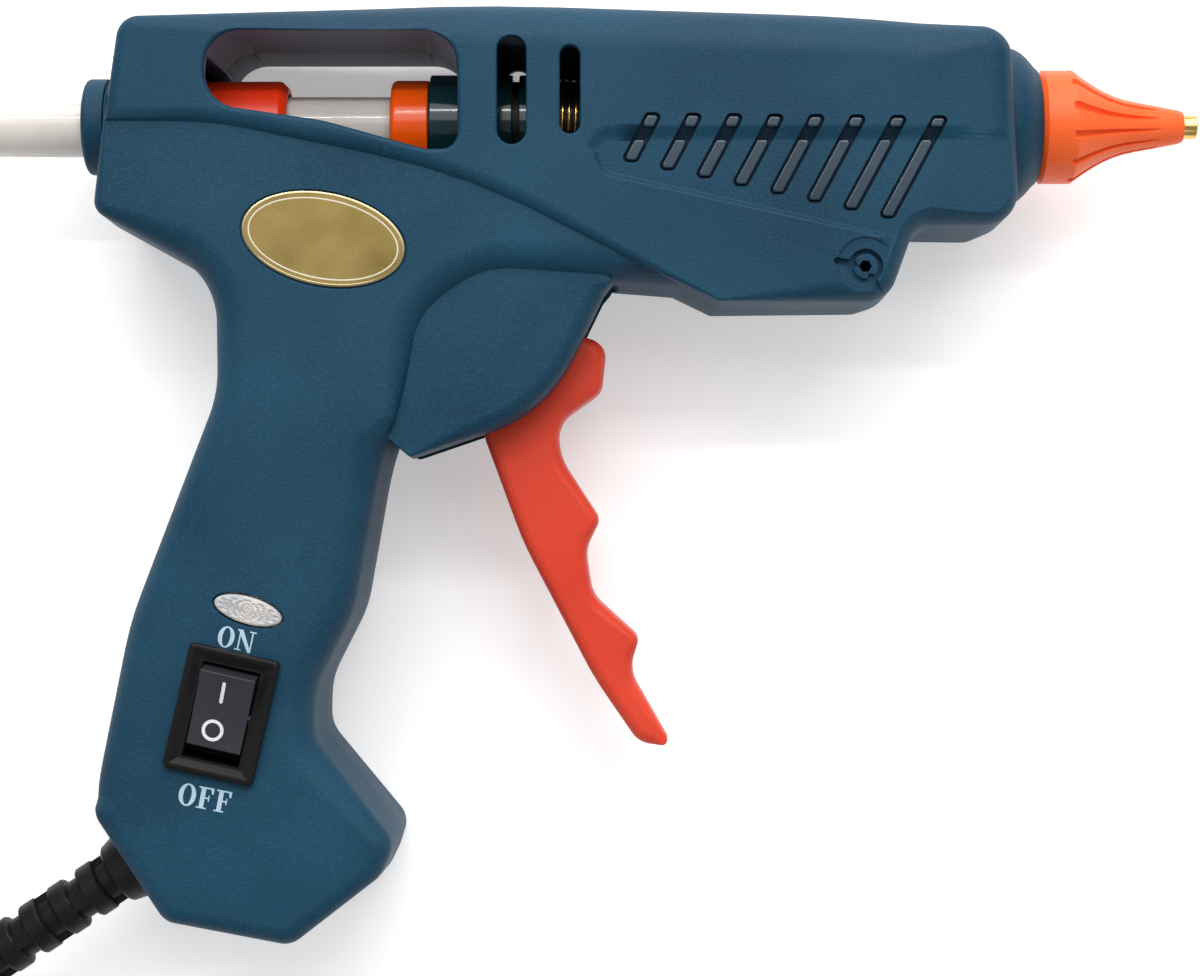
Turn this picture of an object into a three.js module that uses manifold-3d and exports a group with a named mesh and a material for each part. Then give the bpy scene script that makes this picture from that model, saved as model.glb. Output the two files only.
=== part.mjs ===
// Hot glue applicator, in millimetres, lying on its side as it rests on a bench.
// The barrel runs along +X to the nozzle, the handle hangs towards -Y, and +Z is up from the bench.
// Inside the group named applicator, the origin is on the glue stick's axis at the rear face,
// and z is measured from the parting plane of the two housing halves.

import * as THREE from 'three';
import { mergeVertices } from 'three/addons/utils/BufferGeometryUtils.js';
import Module from 'manifold-3d';

const wasm = await Module();
wasm.setup();

// Overall sizes
const barrelLength = 167;
const barrelHeight = 41;
const barrelThickness = 42;
const bellyDepth = 13.9;
const handleReach = 55;
const handleLength = 129.5;
const wall = 2.2;
const sideWall = 2.8;

// Clearances
const partingGap = 0.1;
const seatGap = 0.3;
const runningGap = 0.4;
const carriagePlay = 0.6;
const overrun = 1;

// Edges of the mouldings
const edgeRound = 6;
const rearEdgeRound = 2.5;
const creaseRound = 3;
const creaseStep = 1.6;
const leafStep = 4;
const draftShare = 0.026;
const draftAllowance = draftShare * barrelThickness / 2;

// Glue stick
const stickDiameter = 11.2;
const stickLength = 100;
const stickStandout = 25;

// Feed mechanism
const triggerThickness = 14;
const triggerReach = 28.4;
const triggerDrop = 77.1;
const triggerRound = 2;
const triggerPull = THREE.MathUtils.degToRad(22);
const armLength = 24;
const carriageLength = 20.5;
const carriageWall = 2.2;

// Cord
const cordDiameter = 6;

// Derived sizes that many pieces share
const halfHeight = barrelHeight / 2;
const halfThickness = barrelThickness / 2;
const stickRadius = stickDiameter / 2;
const cordRadius = cordDiameter / 2;

// Finishes
const finishes = {
  housing: new THREE.MeshStandardMaterial({ color: 0x1d4a63, roughness: 0.62, metalness: 0 }),
  nozzleSilicone: new THREE.MeshStandardMaterial({ color: 0xe8602f, roughness: 0.55, metalness: 0 }),
  triggerPlastic: new THREE.MeshStandardMaterial({ color: 0xd9472b, roughness: 0.5, metalness: 0 }),
  darkPlastic: new THREE.MeshStandardMaterial({ color: 0x16242c, roughness: 0.35, metalness: 0 }),
  switchPlastic: new THREE.MeshStandardMaterial({ color: 0x0c0c0d, roughness: 0.4, metalness: 0 }),
  glue: new THREE.MeshStandardMaterial({ color: 0xe4dcd0, roughness: 0.35, metalness: 0 }),
  brass: new THREE.MeshStandardMaterial({ color: 0xb08d3c, roughness: 0.3, metalness: 1 }),
  steel: new THREE.MeshStandardMaterial({ color: 0xb9bcc0, roughness: 0.35, metalness: 1 }),
  aluminium: new THREE.MeshStandardMaterial({ color: 0xaeb2b5, roughness: 0.45, metalness: 1 }),
  ceramic: new THREE.MeshStandardMaterial({ color: 0xe9e4d6, roughness: 0.8, metalness: 0 }),
  gold: new THREE.MeshStandardMaterial({ color: 0xa8893f, roughness: 0.35, metalness: 1 }),
  lens: new THREE.MeshStandardMaterial({ color: 0xd9d4cf, roughness: 0.1, metalness: 0 }),
  cordRubber: new THREE.MeshStandardMaterial({ color: 0x151414, roughness: 0.6, metalness: 0 }),
};

// Solids from geometries, and back again
const mergeDistance = 0.0005;

function solid(geometry) {
  const bare = geometry.index ? geometry.toNonIndexed() : geometry.clone();
  bare.deleteAttribute('normal');
  bare.deleteAttribute('uv');
  const merged = mergeVertices(bare, mergeDistance);
  const corners = merged.index.array;
  const kept = [];
  for (let i = 0; i < corners.length; i += 3) {
    const [a, b, c] = [corners[i], corners[i + 1], corners[i + 2]];
    if (a !== b && b !== c && c !== a) kept.push(a, b, c);
  }
  return new wasm.Manifold(new wasm.Mesh({
    numProp: 3,
    vertProperties: new Float32Array(merged.attributes.position.array),
    triVerts: new Uint32Array(kept),
  }));
}

function join(...solids) {
  return solids.reduce((whole, next) => whole.add(next));
}

function cut(body, ...tools) {
  return tools.reduce((rest, tool) => rest.subtract(tool), body);
}

function geometryOf(body) {
  const mesh = body.getMesh();
  const geometry = new THREE.BufferGeometry();
  geometry.setAttribute('position', new THREE.BufferAttribute(new Float32Array(mesh.vertProperties), 3));
  geometry.setIndex(new THREE.BufferAttribute(new Uint32Array(mesh.triVerts), 1));
  return geometry;
}

// The same shape on the other side of the parting plane, and both sides together
function mirrored(body) {
  const geometry = geometryOf(body);
  geometry.scale(1, 1, -1);
  const index = geometry.index.array;
  for (let i = 0; i < index.length; i += 3) [index[i + 1], index[i + 2]] = [index[i + 2], index[i + 1]];
  return geometry;
}

function both(half) {
  return join(half, solid(mirrored(half)));
}

// The tree: the applicator's own pieces, and the free cord with what is on it
const part = new THREE.Group();
const applicator = new THREE.Group();
const lead = new THREE.Group();
part.add(applicator, lead);

function piece(name, body, finish, parent = applicator) {
  const geometry = body.isBufferGeometry ? body : geometryOf(body);
  geometry.computeVertexNormals();
  const mesh = new THREE.Mesh(geometry, finish);
  mesh.name = name;
  parent.add(mesh);
  return mesh;
}

// A closed outline from corners, each [x, y, corner radius, edge rounding]. Round corners become arcs,
// and a convex arc limits the edge rounding that runs along it, so that no inset edge turns over.
const arcStep = Math.PI / 7;
const roundOfCornerShare = 0.8;

function cornered(corners) {
  const clockwise = THREE.ShapeUtils.isClockWise(corners.map(([x, y]) => new THREE.Vector2(x, y)));
  const ordered = clockwise ? [...corners].reverse() : corners;
  const count = ordered.length;
  const points = [];
  for (let i = 0; i < count; i += 1) {
    const [x, y, radius = 0, round = 0] = ordered[i];
    const here = new THREE.Vector2(x, y);
    const toBack = new THREE.Vector2(...ordered[(i + count - 1) % count]).sub(here);
    const toNext = new THREE.Vector2(...ordered[(i + 1) % count]).sub(here);
    const turn = Math.PI - toBack.angleTo(toNext);
    const convex = toNext.cross(toBack) > 0;
    const reach = Math.min(radius * Math.tan(turn / 2), 0.49 * toBack.length(), 0.49 * toNext.length());
    if (reach === 0) {
      here.round = round;
      points.push(here);
    } else {
      const bendRadius = reach / Math.tan(turn / 2);
      const inward = toBack.clone().normalize().add(toNext.clone().normalize());
      const centre = here.clone().add(inward.setLength(bendRadius / Math.cos(turn / 2)));
      const start = here.clone().add(toBack.clone().setLength(reach)).sub(centre);
      const steps = Math.ceil(turn / arcStep);
      for (let k = 0; k <= steps; k += 1) {
        const point = start.clone().rotateAround(new THREE.Vector2(), (convex ? 1 : -1) * turn * k / steps)
          .add(centre);
        point.round = convex ? Math.min(round, roundOfCornerShare * bendRadius - draftAllowance) : round;
        point.round = Math.max(point.round, 0);
        points.push(point);
      }
    }
  }
  return points.filter((p, i) => p.distanceTo(points[(i + 1) % points.length]) > mergeDistance);
}

// An outline moved inwards, each point by its own distance
function insetOutline(points, distances) {
  const count = points.length;
  return points.map((point, i) => {
    const back = point.clone().sub(points[(i + count - 1) % count]).normalize();
    const next = points[(i + 1) % count].clone().sub(point).normalize();
    const inwardBack = new THREE.Vector2(-back.y, back.x);
    const inwardNext = new THREE.Vector2(-next.y, next.x);
    const mitre = inwardBack.clone().add(inwardNext).divideScalar(1 + inwardBack.dot(inwardNext));
    const moved = point.clone().addScaledVector(mitre, distances[i]);
    moved.round = point.round;
    return moved;
  });
}

function evenInset(points, distance) {
  return insetOutline(points, points.map(() => distance));
}

// The same for corners: convex corners lose radius and hollow ones gain it, as a wall's inside does
function innerOutline(corners, distance) {
  const clockwise = THREE.ShapeUtils.isClockWise(corners.map(([x, y]) => new THREE.Vector2(x, y)));
  const ordered = clockwise ? [...corners].reverse() : corners;
  const places = ordered.map(([x, y]) => new THREE.Vector2(x, y));
  const moved = evenInset(places, distance);
  return cornered(ordered.map(([, , radius = 0], i) => {
    const back = places[i].clone().sub(places[(i + places.length - 1) % places.length]);
    const next = places[(i + 1) % places.length].clone().sub(places[i]);
    const change = back.cross(next) > 0 ? -distance : distance;
    return [moved[i].x, moved[i].y, radius === 0 ? 0 : Math.max(radius + change, 0)];
  }));
}

// A closed solid through rings of points, each ring with as many points as the last
function loft(rings) {
  const count = rings[0].length;
  const positions = rings.flatMap((ring) => ring.flatMap((point) => point.toArray()));
  const index = [];
  for (let k = 0; k + 1 < rings.length; k += 1) {
    for (let i = 0; i < count; i += 1) {
      const a = k * count + i;
      const b = k * count + (i + 1) % count;
      index.push(a, b, b + count, a, b + count, a + count);
    }
  }
  const flat = (ring) => ring.map((point) => new THREE.Vector2(point.x, point.y));
  for (const [a, b, c] of THREE.ShapeUtils.triangulateShape(flat(rings[0]), [])) index.push(c, b, a);
  const last = (rings.length - 1) * count;
  for (const [a, b, c] of THREE.ShapeUtils.triangulateShape(flat(rings.at(-1)), [])) {
    index.push(last + a, last + b, last + c);
  }
  const geometry = new THREE.BufferGeometry();
  geometry.setAttribute('position', new THREE.Float32BufferAttribute(positions, 3));
  geometry.setIndex(index);
  return solid(geometry);
}

// One half of a moulding: drafted walls from the parting plane, a rounded edge, a flat or sloping top
const roundSteps = 3;

function moulding(points, topAt, from, steps = roundSteps) {
  const drafts = points.map((point) => draftShare * topAt(point));
  const rounds = points.map((point) => point.round);
  const rings = [points.map((point) => new THREE.Vector3(point.x, point.y, from))];
  for (let k = 0; k <= steps; k += 1) {
    const angle = k / steps * Math.PI / 2;
    const inset = rounds.map((round, i) => drafts[i] + round * (1 - Math.cos(angle)));
    const drop = rounds.map((round) => round * (1 - Math.sin(angle)));
    rings.push(insetOutline(points, inset)
      .map((point, i) => new THREE.Vector3(point.x, point.y, topAt(point) - drop[i])));
  }
  return loft(rings);
}

// Straight-sided prisms, turned pieces, rods and tubes
function prism(points, from, to) {
  const depth = to - from;
  const geometry = new THREE.ExtrudeGeometry(new THREE.Shape(points), { depth, bevelEnabled: false });
  geometry.translate(0, 0, from);
  return solid(geometry);
}

function block(x0, x1, y0, y1, z0, z1) {
  const geometry = new THREE.BoxGeometry(x1 - x0, y1 - y0, z1 - z0);
  geometry.translate((x0 + x1) / 2, (y0 + y1) / 2, (z0 + z1) / 2);
  return solid(geometry);
}

function turned(profile, sides) {
  const points = profile.map(([x, radius]) => new THREE.Vector2(radius, x));
  const geometry = new THREE.LatheGeometry(points, sides);
  geometry.rotateZ(-Math.PI / 2);
  const body = solid(geometry);
  return body.volume() < 0 ? solid(geometry.scale(1, 1, -1)) : body;
}

function rod(x, y, radius, z0, z1, sides = pinSides) {
  const geometry = new THREE.CylinderGeometry(radius, radius, z1 - z0, sides);
  geometry.rotateX(Math.PI / 2);
  geometry.translate(x, y, (z0 + z1) / 2);
  return solid(geometry);
}

// Sides of round pieces, by how much of them shows
const ringSides = 16;
const noseSides = 24;
const hiddenSides = 16;
const reliefSides = 10;
const cordSides = 8;
const pinSides = 10;
const smallSides = 8;
const screwSides = 5;
const lensSides = 16;

// Corner radii of outlines, from a crisp corner to a long arch
const crisp = 1.2;
const knuckle = 2.4;
const tight = 3.5;
const firm = 5;
const soft = 6.5;
const roomy = 8.5;
const broad = 13;
const bend = 22;
const sweep = 60;
const arch = 400;

// Places on the side view, as shares of the sizes that they follow
const onBarrel = ([xShare, yShare, ...rest]) => [xShare * barrelLength, yShare * halfHeight, ...rest];
const onBelly = ([xShare, yShare, ...rest]) => [
  xShare * barrelLength, -halfHeight - yShare * bellyDepth, ...rest];
const onHandle = ([xShare, yShare, ...rest]) => [
  xShare * handleReach, -halfHeight - yShare * handleLength, ...rest];

// Barrel with its belly: the proud upper body, whose lower rear edge is the long crease
const rearFoot = onBarrel([-0.0024, -0.859, tight, rearEdgeRound]);
const barrelCorners = [
  onBarrel([0.0105, -0.107, 0, rearEdgeRound]),
  onBarrel([0.132, -0.127, sweep, creaseRound]),
  onBarrel([0.383, -0.546, sweep * 2, creaseRound]),
  onBelly([0.674, 1, crisp, creaseRound]),
  onBelly([0.8587, 1, soft, edgeRound]),
  onBarrel([0.89, -1, tight, edgeRound]),
  onBarrel([1.002, -1, soft, edgeRound]),
  onBarrel([0.993, 0.776, soft, edgeRound]),
  onBarrel([0.8186, 0.912, arch, edgeRound]),
  onBarrel([0.405, 1.02, arch, edgeRound]),
  onBarrel([0.0275, 0.868, tight + crisp, rearEdgeRound]),
];

// Handle body: it stands back from the barrel by the crease's step, and widens to the barrel's
// thickness at its foot, so that the tool lies flat on barrel and foot
const leafTop = onBelly([0.425, 0.61, broad, edgeRound]);
const leafBack = onBelly([0.3623, 1.115, broad, edgeRound]);
const entryAbove = onHandle([0, 0.817, firm, edgeRound]);
const entryBelow = onHandle([0.233, 0.966, firm, edgeRound]);
const handleCorners = [
  rearFoot,
  onHandle([0.387, 0.0703, broad, edgeRound]),
  onHandle([0.393, 0.228, bend, edgeRound]),
  onHandle([0.109, 0.544, sweep, edgeRound]),
  onHandle([0.004, 0.768, sweep, edgeRound]),
  entryAbove,
  entryBelow,
  onHandle([0.6545, 1, firm, edgeRound]),
  onHandle([0.949, 0.903, firm, edgeRound]),
  onHandle([1.0055, 0.853, firm, edgeRound]),
  onHandle([0.733, 0.708, soft, edgeRound]),
  onHandle([0.738, 0.641, broad, edgeRound]),
  onHandle([0.862, 0.5367, bend, edgeRound]),
  onHandle([0.945, 0.336, sweep, edgeRound]),
  onHandle([1, 0.266, tight, edgeRound]),
  leafBack,
  leafTop,
  onBelly([0.56, 0.712, 0, edgeRound]),
  onBelly([0.6527, 0.8, tight, edgeRound]),
  onBelly([0.69, 0.9, 0, 0]),
  onBelly([0.7, 0.4, 0, 0]),
  onBarrel([0.36, 0.2, 0, 0]),
  onBarrel([0.0145, 0.17, 0, 0]),
];

// Trigger cover: a thinner leaf whose lower front rim is an arc over the trigger
const leafCorners = [
  onHandle([1.036, 0.322, crisp, creaseRound]),
  onHandle([0.8, 0.24, 0, 0]),
  onBelly([0.323, 0.4, 0, 0]),
  onBelly([0.479, 0.1, 0, 0]),
  onBelly([0.566, 0.64, crisp, creaseRound]),
  onBelly([0.552, 0.86, crisp, creaseRound]),
  onBelly([0.49, 2.4, sweep, creaseRound]),
];

// Half thickness of each body, from the parting plane
const flareDrop = 0.975 * (handleLength + halfHeight);
const barrelTop = () => halfThickness;
const handleTop = (point) => halfThickness - creaseStep * (1 + point.y / flareDrop);
const leafTopHeight = () => halfThickness - leafStep;

// Nose cone round the nozzle, turned, with a rounded shoulder
const noseLength = 5.4;
const noseBaseRadius = 14.6;
const noseTipRadius = 10.4;
const noseRoot = 5;
const noseBore = 8.9;
const noseInset = 0.5;
const noseStart = barrelLength - noseInset;
const noseEnd = barrelLength + noseLength;
const noseProfileShares = [[0, 1], [0.25, 0.985], [0.55, 0.9], [0.8, 0.8]];
const noseProfile = [
  [noseStart - noseRoot, noseBore],
  [noseStart - noseRoot, noseBaseRadius],
  ...noseProfileShares.map(([xShare, radiusShare]) => [
    noseStart + xShare * noseLength, radiusShare * noseBaseRadius]),
  [noseEnd, noseTipRadius],
  [noseEnd, noseBore],
  [noseStart - noseRoot, noseBore],
];
const nose = turned(noseProfile, noseSides);

// Viewing window through both halves, a little wider at the faces than at the parting plane
const windowDraft = 0.8;
const windowLip = 0.9;
const windowOutline = cornered([
  onBarrel([0.123, 0.712, roomy, 0]),
  onBarrel([0.394, 0.712, soft, 0]),
  onBarrel([0.394, -0.32, tight, 0]),
  onBarrel([0.36, -0.325, tight, 0]),
  onBarrel([0.25, -0.075, bend, 0]),
  onBarrel([0.123, 0.075, soft, 0]),
]);
const windowMid = evenInset(windowOutline, windowDraft);
const atHeight = (points, z) => points.map((point) => new THREE.Vector3(point.x, point.y, z));
const windowCutter = loft([
  atHeight(evenInset(windowMid, windowDraft * overrun / halfThickness), -overrun),
  atHeight(windowOutline, halfThickness - windowLip),
  atHeight(evenInset(windowOutline, -windowLip), halfThickness),
  atHeight(evenInset(windowOutline, -windowLip), halfThickness + overrun),
]);

// Inlet parts along the stick's axis, whose seats the housing's ribs follow
const carriageRadius = stickRadius + carriagePlay + carriageWall;
const guideRadius = 8.9;
const guideStandout = 4;
const guideNeckRadius = 7.9;
const guideBore = stickRadius + runningGap;
const guideInnerStart = 0.048 * barrelLength;
const sleeveShown = 12;
const sleeveFlangeLength = 7;
const sleeveFlangeWall = 3;
const sleeveFlangeStep = 0.2;
const sleeveFlangeRadius = stickRadius + sleeveFlangeWall;
const sleeveRadius = sleeveFlangeRadius - sleeveFlangeStep;
const tubeRadius = 9.6;
const springWire = 0.8;
const windowFront = 0.387 * barrelLength;
const sleeveStart = windowFront - sleeveShown;
const tubeStart = sleeveStart + sleeveFlangeLength + seatGap;
const ventOneX = 0.452 * barrelLength;
const ventTwoX = 0.5145 * barrelLength;
const tubeEnd = ventOneX - seatGap;
const collarDistance = 1.2;
const collarLength = 2.4;
const collarStart = tubeEnd + collarDistance;
const collarEnd = collarStart + collarLength;

// Heated parts
const chamberRadius = 9.5;
const chamberRingRadius = 14;
const chamberRingLength = 3;
const chamberStart = collarEnd;
const rearRingX = 0.563 * barrelLength;
const frontRingX = 0.915 * barrelLength;

// Walls that the ribs stand on, and the seats cut in them
const ribThickness = 1.6;
const ribReach = barrelLength;
const tubeRibSetback = 1.4;
const tubeRibX = windowFront + tubeRibSetback;
const linkSlotHalf = 6.4;

// Trigger pivot, and the arm that drives the carriage
const pivotX = 0.4575 * barrelLength;
const pivotY = -halfHeight - 1.2446 * bellyDepth;
const pinRadius = 2;
const pivotBossRadius = 4.2;
const armStart = triggerPull / 2;
const armEndX = pivotX - armLength * Math.sin(armStart);
const armEndY = pivotY + armLength * Math.cos(armStart);
const carriageStroke = 2 * armLength * Math.sin(armStart);
const carriageStart = 0.078 * barrelLength;
const lugX = carriageStart + 0.83 * carriageLength;
const keyTop = -0.22 * halfHeight;
const keyBottom = -0.32 * halfHeight;
const railThickness = 1.4;
const keyStandout = 3;
const railOverlap = 1.6;
const keyReach = carriageRadius + keyStandout;
const railPastCarriage = 7.4;
const railEnd = carriageStart + carriageLength + carriageStroke + railPastCarriage;

// Return spring beside the arm, between a post on the left half and a peg on the arm
const springLever = armLength / 2;
const springX = pivotX - springLever * Math.sin(armStart);
const springY = pivotY + springLever * Math.cos(armStart);
const springRadius = 2.5;
const springWireRadius = 0.35;
const springPlane = triggerThickness / 2 + springRadius + springWireRadius + runningGap;
const springSpan = 27;
const springPostX = springX - springSpan;
const springPostRadius = 1.8;

// Screws that hold the halves together, as shares of the barrel, belly or handle
const screwRadius = 1.4;
const screwHeadRadius = 2.8;
const screwHeadDepth = 7;
const screwLength = 22;
const screwBossRadius = 3.6;
const screwPlaces = [
  onBarrel([0.072, 0.62]),
  onBarrel([0.066, -0.69]),
  onBarrel([0.63, 0.66]),
  onBarrel([0.878, -0.68]),
  onBelly([0.69, 0.42]),
  onHandle([0.51, 0.2]),
  onHandle([0.76, 0.55]),
  onHandle([0.86, 0.87]),
];

// Power switch in the right half, leaning with the handle
const switchTilt = THREE.MathUtils.degToRad(-13);
const [switchX, switchY] = onHandle([0.433, 0.6725]);
const switchHoleWidth = 14.2;
const switchHoleLength = 20;
const bezelWidth = 16.4;
const bezelLength = 22.8;

// Indicator lens, over a lamp
const lensTilt = THREE.MathUtils.degToRad(-16);
const [lensX, lensY] = onHandle([0.516, 0.5297]);
const lensLength = 13;
const lensWidth = 5.4;

// Oval badge in a shallow recess
const badgeTilt = THREE.MathUtils.degToRad(-11);
const [badgeX, badgeY] = onBelly([0.25, 0.158]);
const badgeLength = 29.6;
const badgeWidth = 16.6;
const badgeThickness = 0.6;
const badgeRecess = 0.5;

// Cord entry in the middle of the handle's lower rear edge, square to it
const entryX = (entryAbove[0] + entryBelow[0]) / 2;
const entryY = (entryAbove[1] + entryBelow[1]) / 2;
const cordAngle = Math.atan2(entryAbove[0] - entryBelow[0], entryBelow[1] - entryAbove[1]);
const cordAlong = new THREE.Vector2(Math.cos(cordAngle), Math.sin(cordAngle));
const reliefNeckRadius = 4.6;
const reliefFlangeRadius = 6.4;
const clampInset = 13;
const clampHalfSpan = 6;
const clampPostRadius = 2.8;
const clampPostTop = 2;
const clampScrewRadius = 1.2;
const clampScrewGrip = 8;

// An oval or rounded slot outline about a centre, turned by an angle
function oval(cx, cy, length, width, angle, sides = 24) {
  const curve = new THREE.EllipseCurve(cx, cy, length / 2, width / 2, 0, 2 * Math.PI, false, angle);
  return curve.getPoints(sides).slice(0, -1);
}

function slot(x0, y0, x1, y1, width, steps = 4) {
  const along = Math.atan2(y1 - y0, x1 - x0);
  const radius = width / 2;
  const far = new THREE.EllipseCurve(x1, y1, radius, radius, along - Math.PI / 2, along + Math.PI / 2);
  const near = new THREE.EllipseCurve(x0, y0, radius, radius, along + Math.PI / 2, along + 1.5 * Math.PI);
  return [...far.getPoints(steps), ...near.getPoints(steps)];
}

function tiltedBox(cx, cy, length, width, angle) {
  const corners = [[1, 1], [-1, 1], [-1, -1], [1, -1]];
  return corners.map(([a, b]) => new THREE.Vector2(a * width / 2, b * length / 2)
    .rotateAround(new THREE.Vector2(), angle).add(new THREE.Vector2(cx, cy)));
}

// The outside of one half and the room inside it, both as solids above the parting plane
const outside = join(
  moulding(cornered(barrelCorners), barrelTop, partingGap / 2),
  moulding(cornered(handleCorners), handleTop, partingGap / 2),
  moulding(cornered(leafCorners), leafTopHeight, partingGap / 2),
);
const noseHalf = nose.intersect(block(
  -ribReach, 2 * ribReach, -ribReach, ribReach, partingGap / 2, ribReach));

// What lies deeper than a skin under that outside, with side walls thick enough for the rounded edge
function within(sideSkin, topSkin, from) {
  const bodies = [[barrelCorners, halfThickness], [handleCorners, halfThickness - creaseStep],
    [leafCorners, halfThickness - leafStep]];
  return join(...bodies.map(([corners, top]) => prism(innerOutline(corners, sideSkin), from, top - topSkin)));
}
const room = within(sideWall, wall, -overrun);
const rooted = within(sideWall - wall / 3, wall / 3, partingGap / 2);

// Tunnel round the window, above the feed parts
const tunnelFoot = tubeRadius + runningGap;
const tunnelBlock = prism(evenInset(windowOutline, -wall), -2 * overrun, halfThickness)
  .intersect(block(0, barrelLength, tunnelFoot, barrelHeight, -2 * overrun, barrelThickness));

// Ribs that carry the tube and the chamber's rings
function rib(x, thickness, seatRadius) {
  const plate = block(x, x + thickness, -halfHeight, halfHeight, partingGap / 2, halfThickness);
  return cut(plate.intersect(rooted), turned(
    [[x - overrun, 0], [x - overrun, seatRadius], [x + thickness + overrun, seatRadius],
      [x + thickness + overrun, 0]], hiddenSides));
}

const ringLip = 2;
function ringSeat(x) {
  const shell = rib(x - ribThickness, chamberRingLength + 2 * ribThickness + 2 * seatGap,
    chamberRingRadius - ringLip);
  return cut(shell, turned([
    [x, 0], [x, chamberRingRadius + seatGap],
    [x + chamberRingLength + 2 * seatGap, chamberRingRadius + seatGap],
    [x + chamberRingLength + 2 * seatGap, 0]], hiddenSides));
}

// Rails for the carriage's keys, above and below each key
function rail(y) {
  return block(wall, railEnd, y, y + railThickness, keyReach - railOverlap, halfThickness).intersect(rooted);
}

// Vents beside the sleeve, and the slanted blind slots on the lower front panel
const ventOneWidth = 5.2;
const ventTwoWidth = 3.6;
const ventOne = slot(ventOneX, 0.54 * halfHeight, ventOneX, -0.16 * halfHeight, ventOneWidth);
const ventTwo = slot(ventTwoX, 0.49 * halfHeight, ventTwoX, -0.107 * halfHeight, ventTwoWidth);
const panelDepth = 0.5;
const blindDepth = 0.8;
const blindCount = 8;
const blindWidth = 2.9;
const blindFirst = onBarrel([0.598, -0.125]).concat(onBarrel([0.582, -0.37]));
const blindLast = onBarrel([0.906, -0.125]).concat(onBarrel([0.857, -0.86]));
const blindSlots = Array.from({ length: blindCount }, (_, i) => {
  const share = i / (blindCount - 1);
  const [x0, y0, x1, y1] = blindFirst.map((value, k) => THREE.MathUtils.lerp(value, blindLast[k], share));
  return slot(x1, y1, x0, y0, blindWidth, 2);
});
const panelOutline = cornered([
  onBarrel([0.545, -0.225, soft, 0]),
  onBarrel([1.05, -0.225, 0, 0]),
  onBarrel([1.05, -1.4, 0, 0]),
  onBarrel([0.88, -1.1, 0, 0]),
  onBarrel([0.548, -0.5, soft, 0]),
]);
const panelLevel = halfThickness - panelDepth;
const panelCutter = prism(panelOutline, panelLevel, halfThickness + overrun)
  .intersect(block(0, barrelLength - edgeRound, -halfHeight + edgeRound / 3, halfHeight,
    0, barrelThickness));

// Socket for a wire stand: a ring-shaped recess round a hub, and a blind hole
const [socketX, socketY] = onBelly([0.831, 0.51]);
const socketRadius = 5.4;
const socketHubRadius = 3;
const socketDepth = 0.9;
const socketHoleRadius = 1.15;
const socketHoleDepth = 9;
const socketBossRadius = 4;
const socketRing = cut(
  rod(socketX, socketY, socketRadius, halfThickness - socketDepth, halfThickness + overrun, hiddenSides),
  rod(socketX, socketY, socketHubRadius, 0, barrelThickness, pinSides),
);

function shell(bosses, holes) {
  const bare = cut(join(outside, noseHalf), cut(room, tunnelBlock), turned(
    [[noseStart - noseRoot - overrun, 0], [noseStart - noseRoot - overrun, noseBore],
      [noseEnd + overrun, noseBore], [noseEnd + overrun, 0]], noseSides));
  const ribs = join(
    cut(rib(tubeRibX, ribThickness, tubeRadius + seatGap),
      block(0, barrelLength, -halfHeight, -tubeRadius - seatGap, -overrun, linkSlotHalf)),
    cut(ringSeat(rearRingX), block(0, barrelLength, -halfHeight, -chamberRadius, -overrun, linkSlotHalf)),
    ringSeat(frontRingX),
    rail(keyTop + runningGap / 2),
    rail(keyBottom - runningGap / 2 - railThickness),
  );
  const screwBosses = screwPlaces.map(([x, y]) => rod(x, y, screwBossRadius, partingGap / 2, halfThickness,
    smallSides).intersect(rooted));
  const pivotBoss = rod(pivotX, pivotY, pivotBossRadius, triggerThickness / 2 + seatGap, halfThickness)
    .intersect(rooted);
  const socketBoss = rod(socketX, socketY, socketBossRadius, halfThickness - socketHoleDepth - wall,
    halfThickness).intersect(rooted);
  return cut(
    join(bare, ribs, ...screwBosses, pivotBoss, socketBoss, ...bosses),
    windowCutter,
    prism(ventOne, halfThickness - 2 * wall, halfThickness + overrun),
    prism(ventTwo, halfThickness - 2 * wall, halfThickness + overrun),
    panelCutter,
    ...blindSlots.map((points) => prism(points, panelLevel - blindDepth, halfThickness + overrun)),
    socketRing,
    rod(socketX, socketY, socketHoleRadius, halfThickness - socketHoleDepth, halfThickness + overrun,
      smallSides),
    turned([[-guideInnerStart, 0], [-guideInnerStart, guideNeckRadius + seatGap],
      [guideInnerStart, guideNeckRadius + seatGap], [guideInnerStart, 0]], ringSides),
    rod(pivotX, pivotY, pinRadius + seatGap / 2, 0, halfThickness - leafStep - wall / 2),
    triggerMouth,
    ...holes,
  );
}

// The mouth under the leaf that the trigger swings in
const mouthHalf = triggerThickness / 2 + runningGap;
const mouthRim = [
  onHandle([1.036, 0.322, 0, 0]),
  onBelly([0.49, 2.4, sweep, 0]),
  onBelly([0.566, 0.7, 0, 0]),
];
const mouthOutline = cornered([
  ...mouthRim.map(([x, y, radius, round]) => [x + 3 * wall, y - 3 * wall, radius, round]),
  ...mouthRim.map(([x, y, radius, round]) => [x - 1.6 * wall, y + 1.6 * wall, radius, round]).reverse(),
]);
const triggerMouth = prism(mouthOutline, -overrun, mouthHalf);

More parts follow.
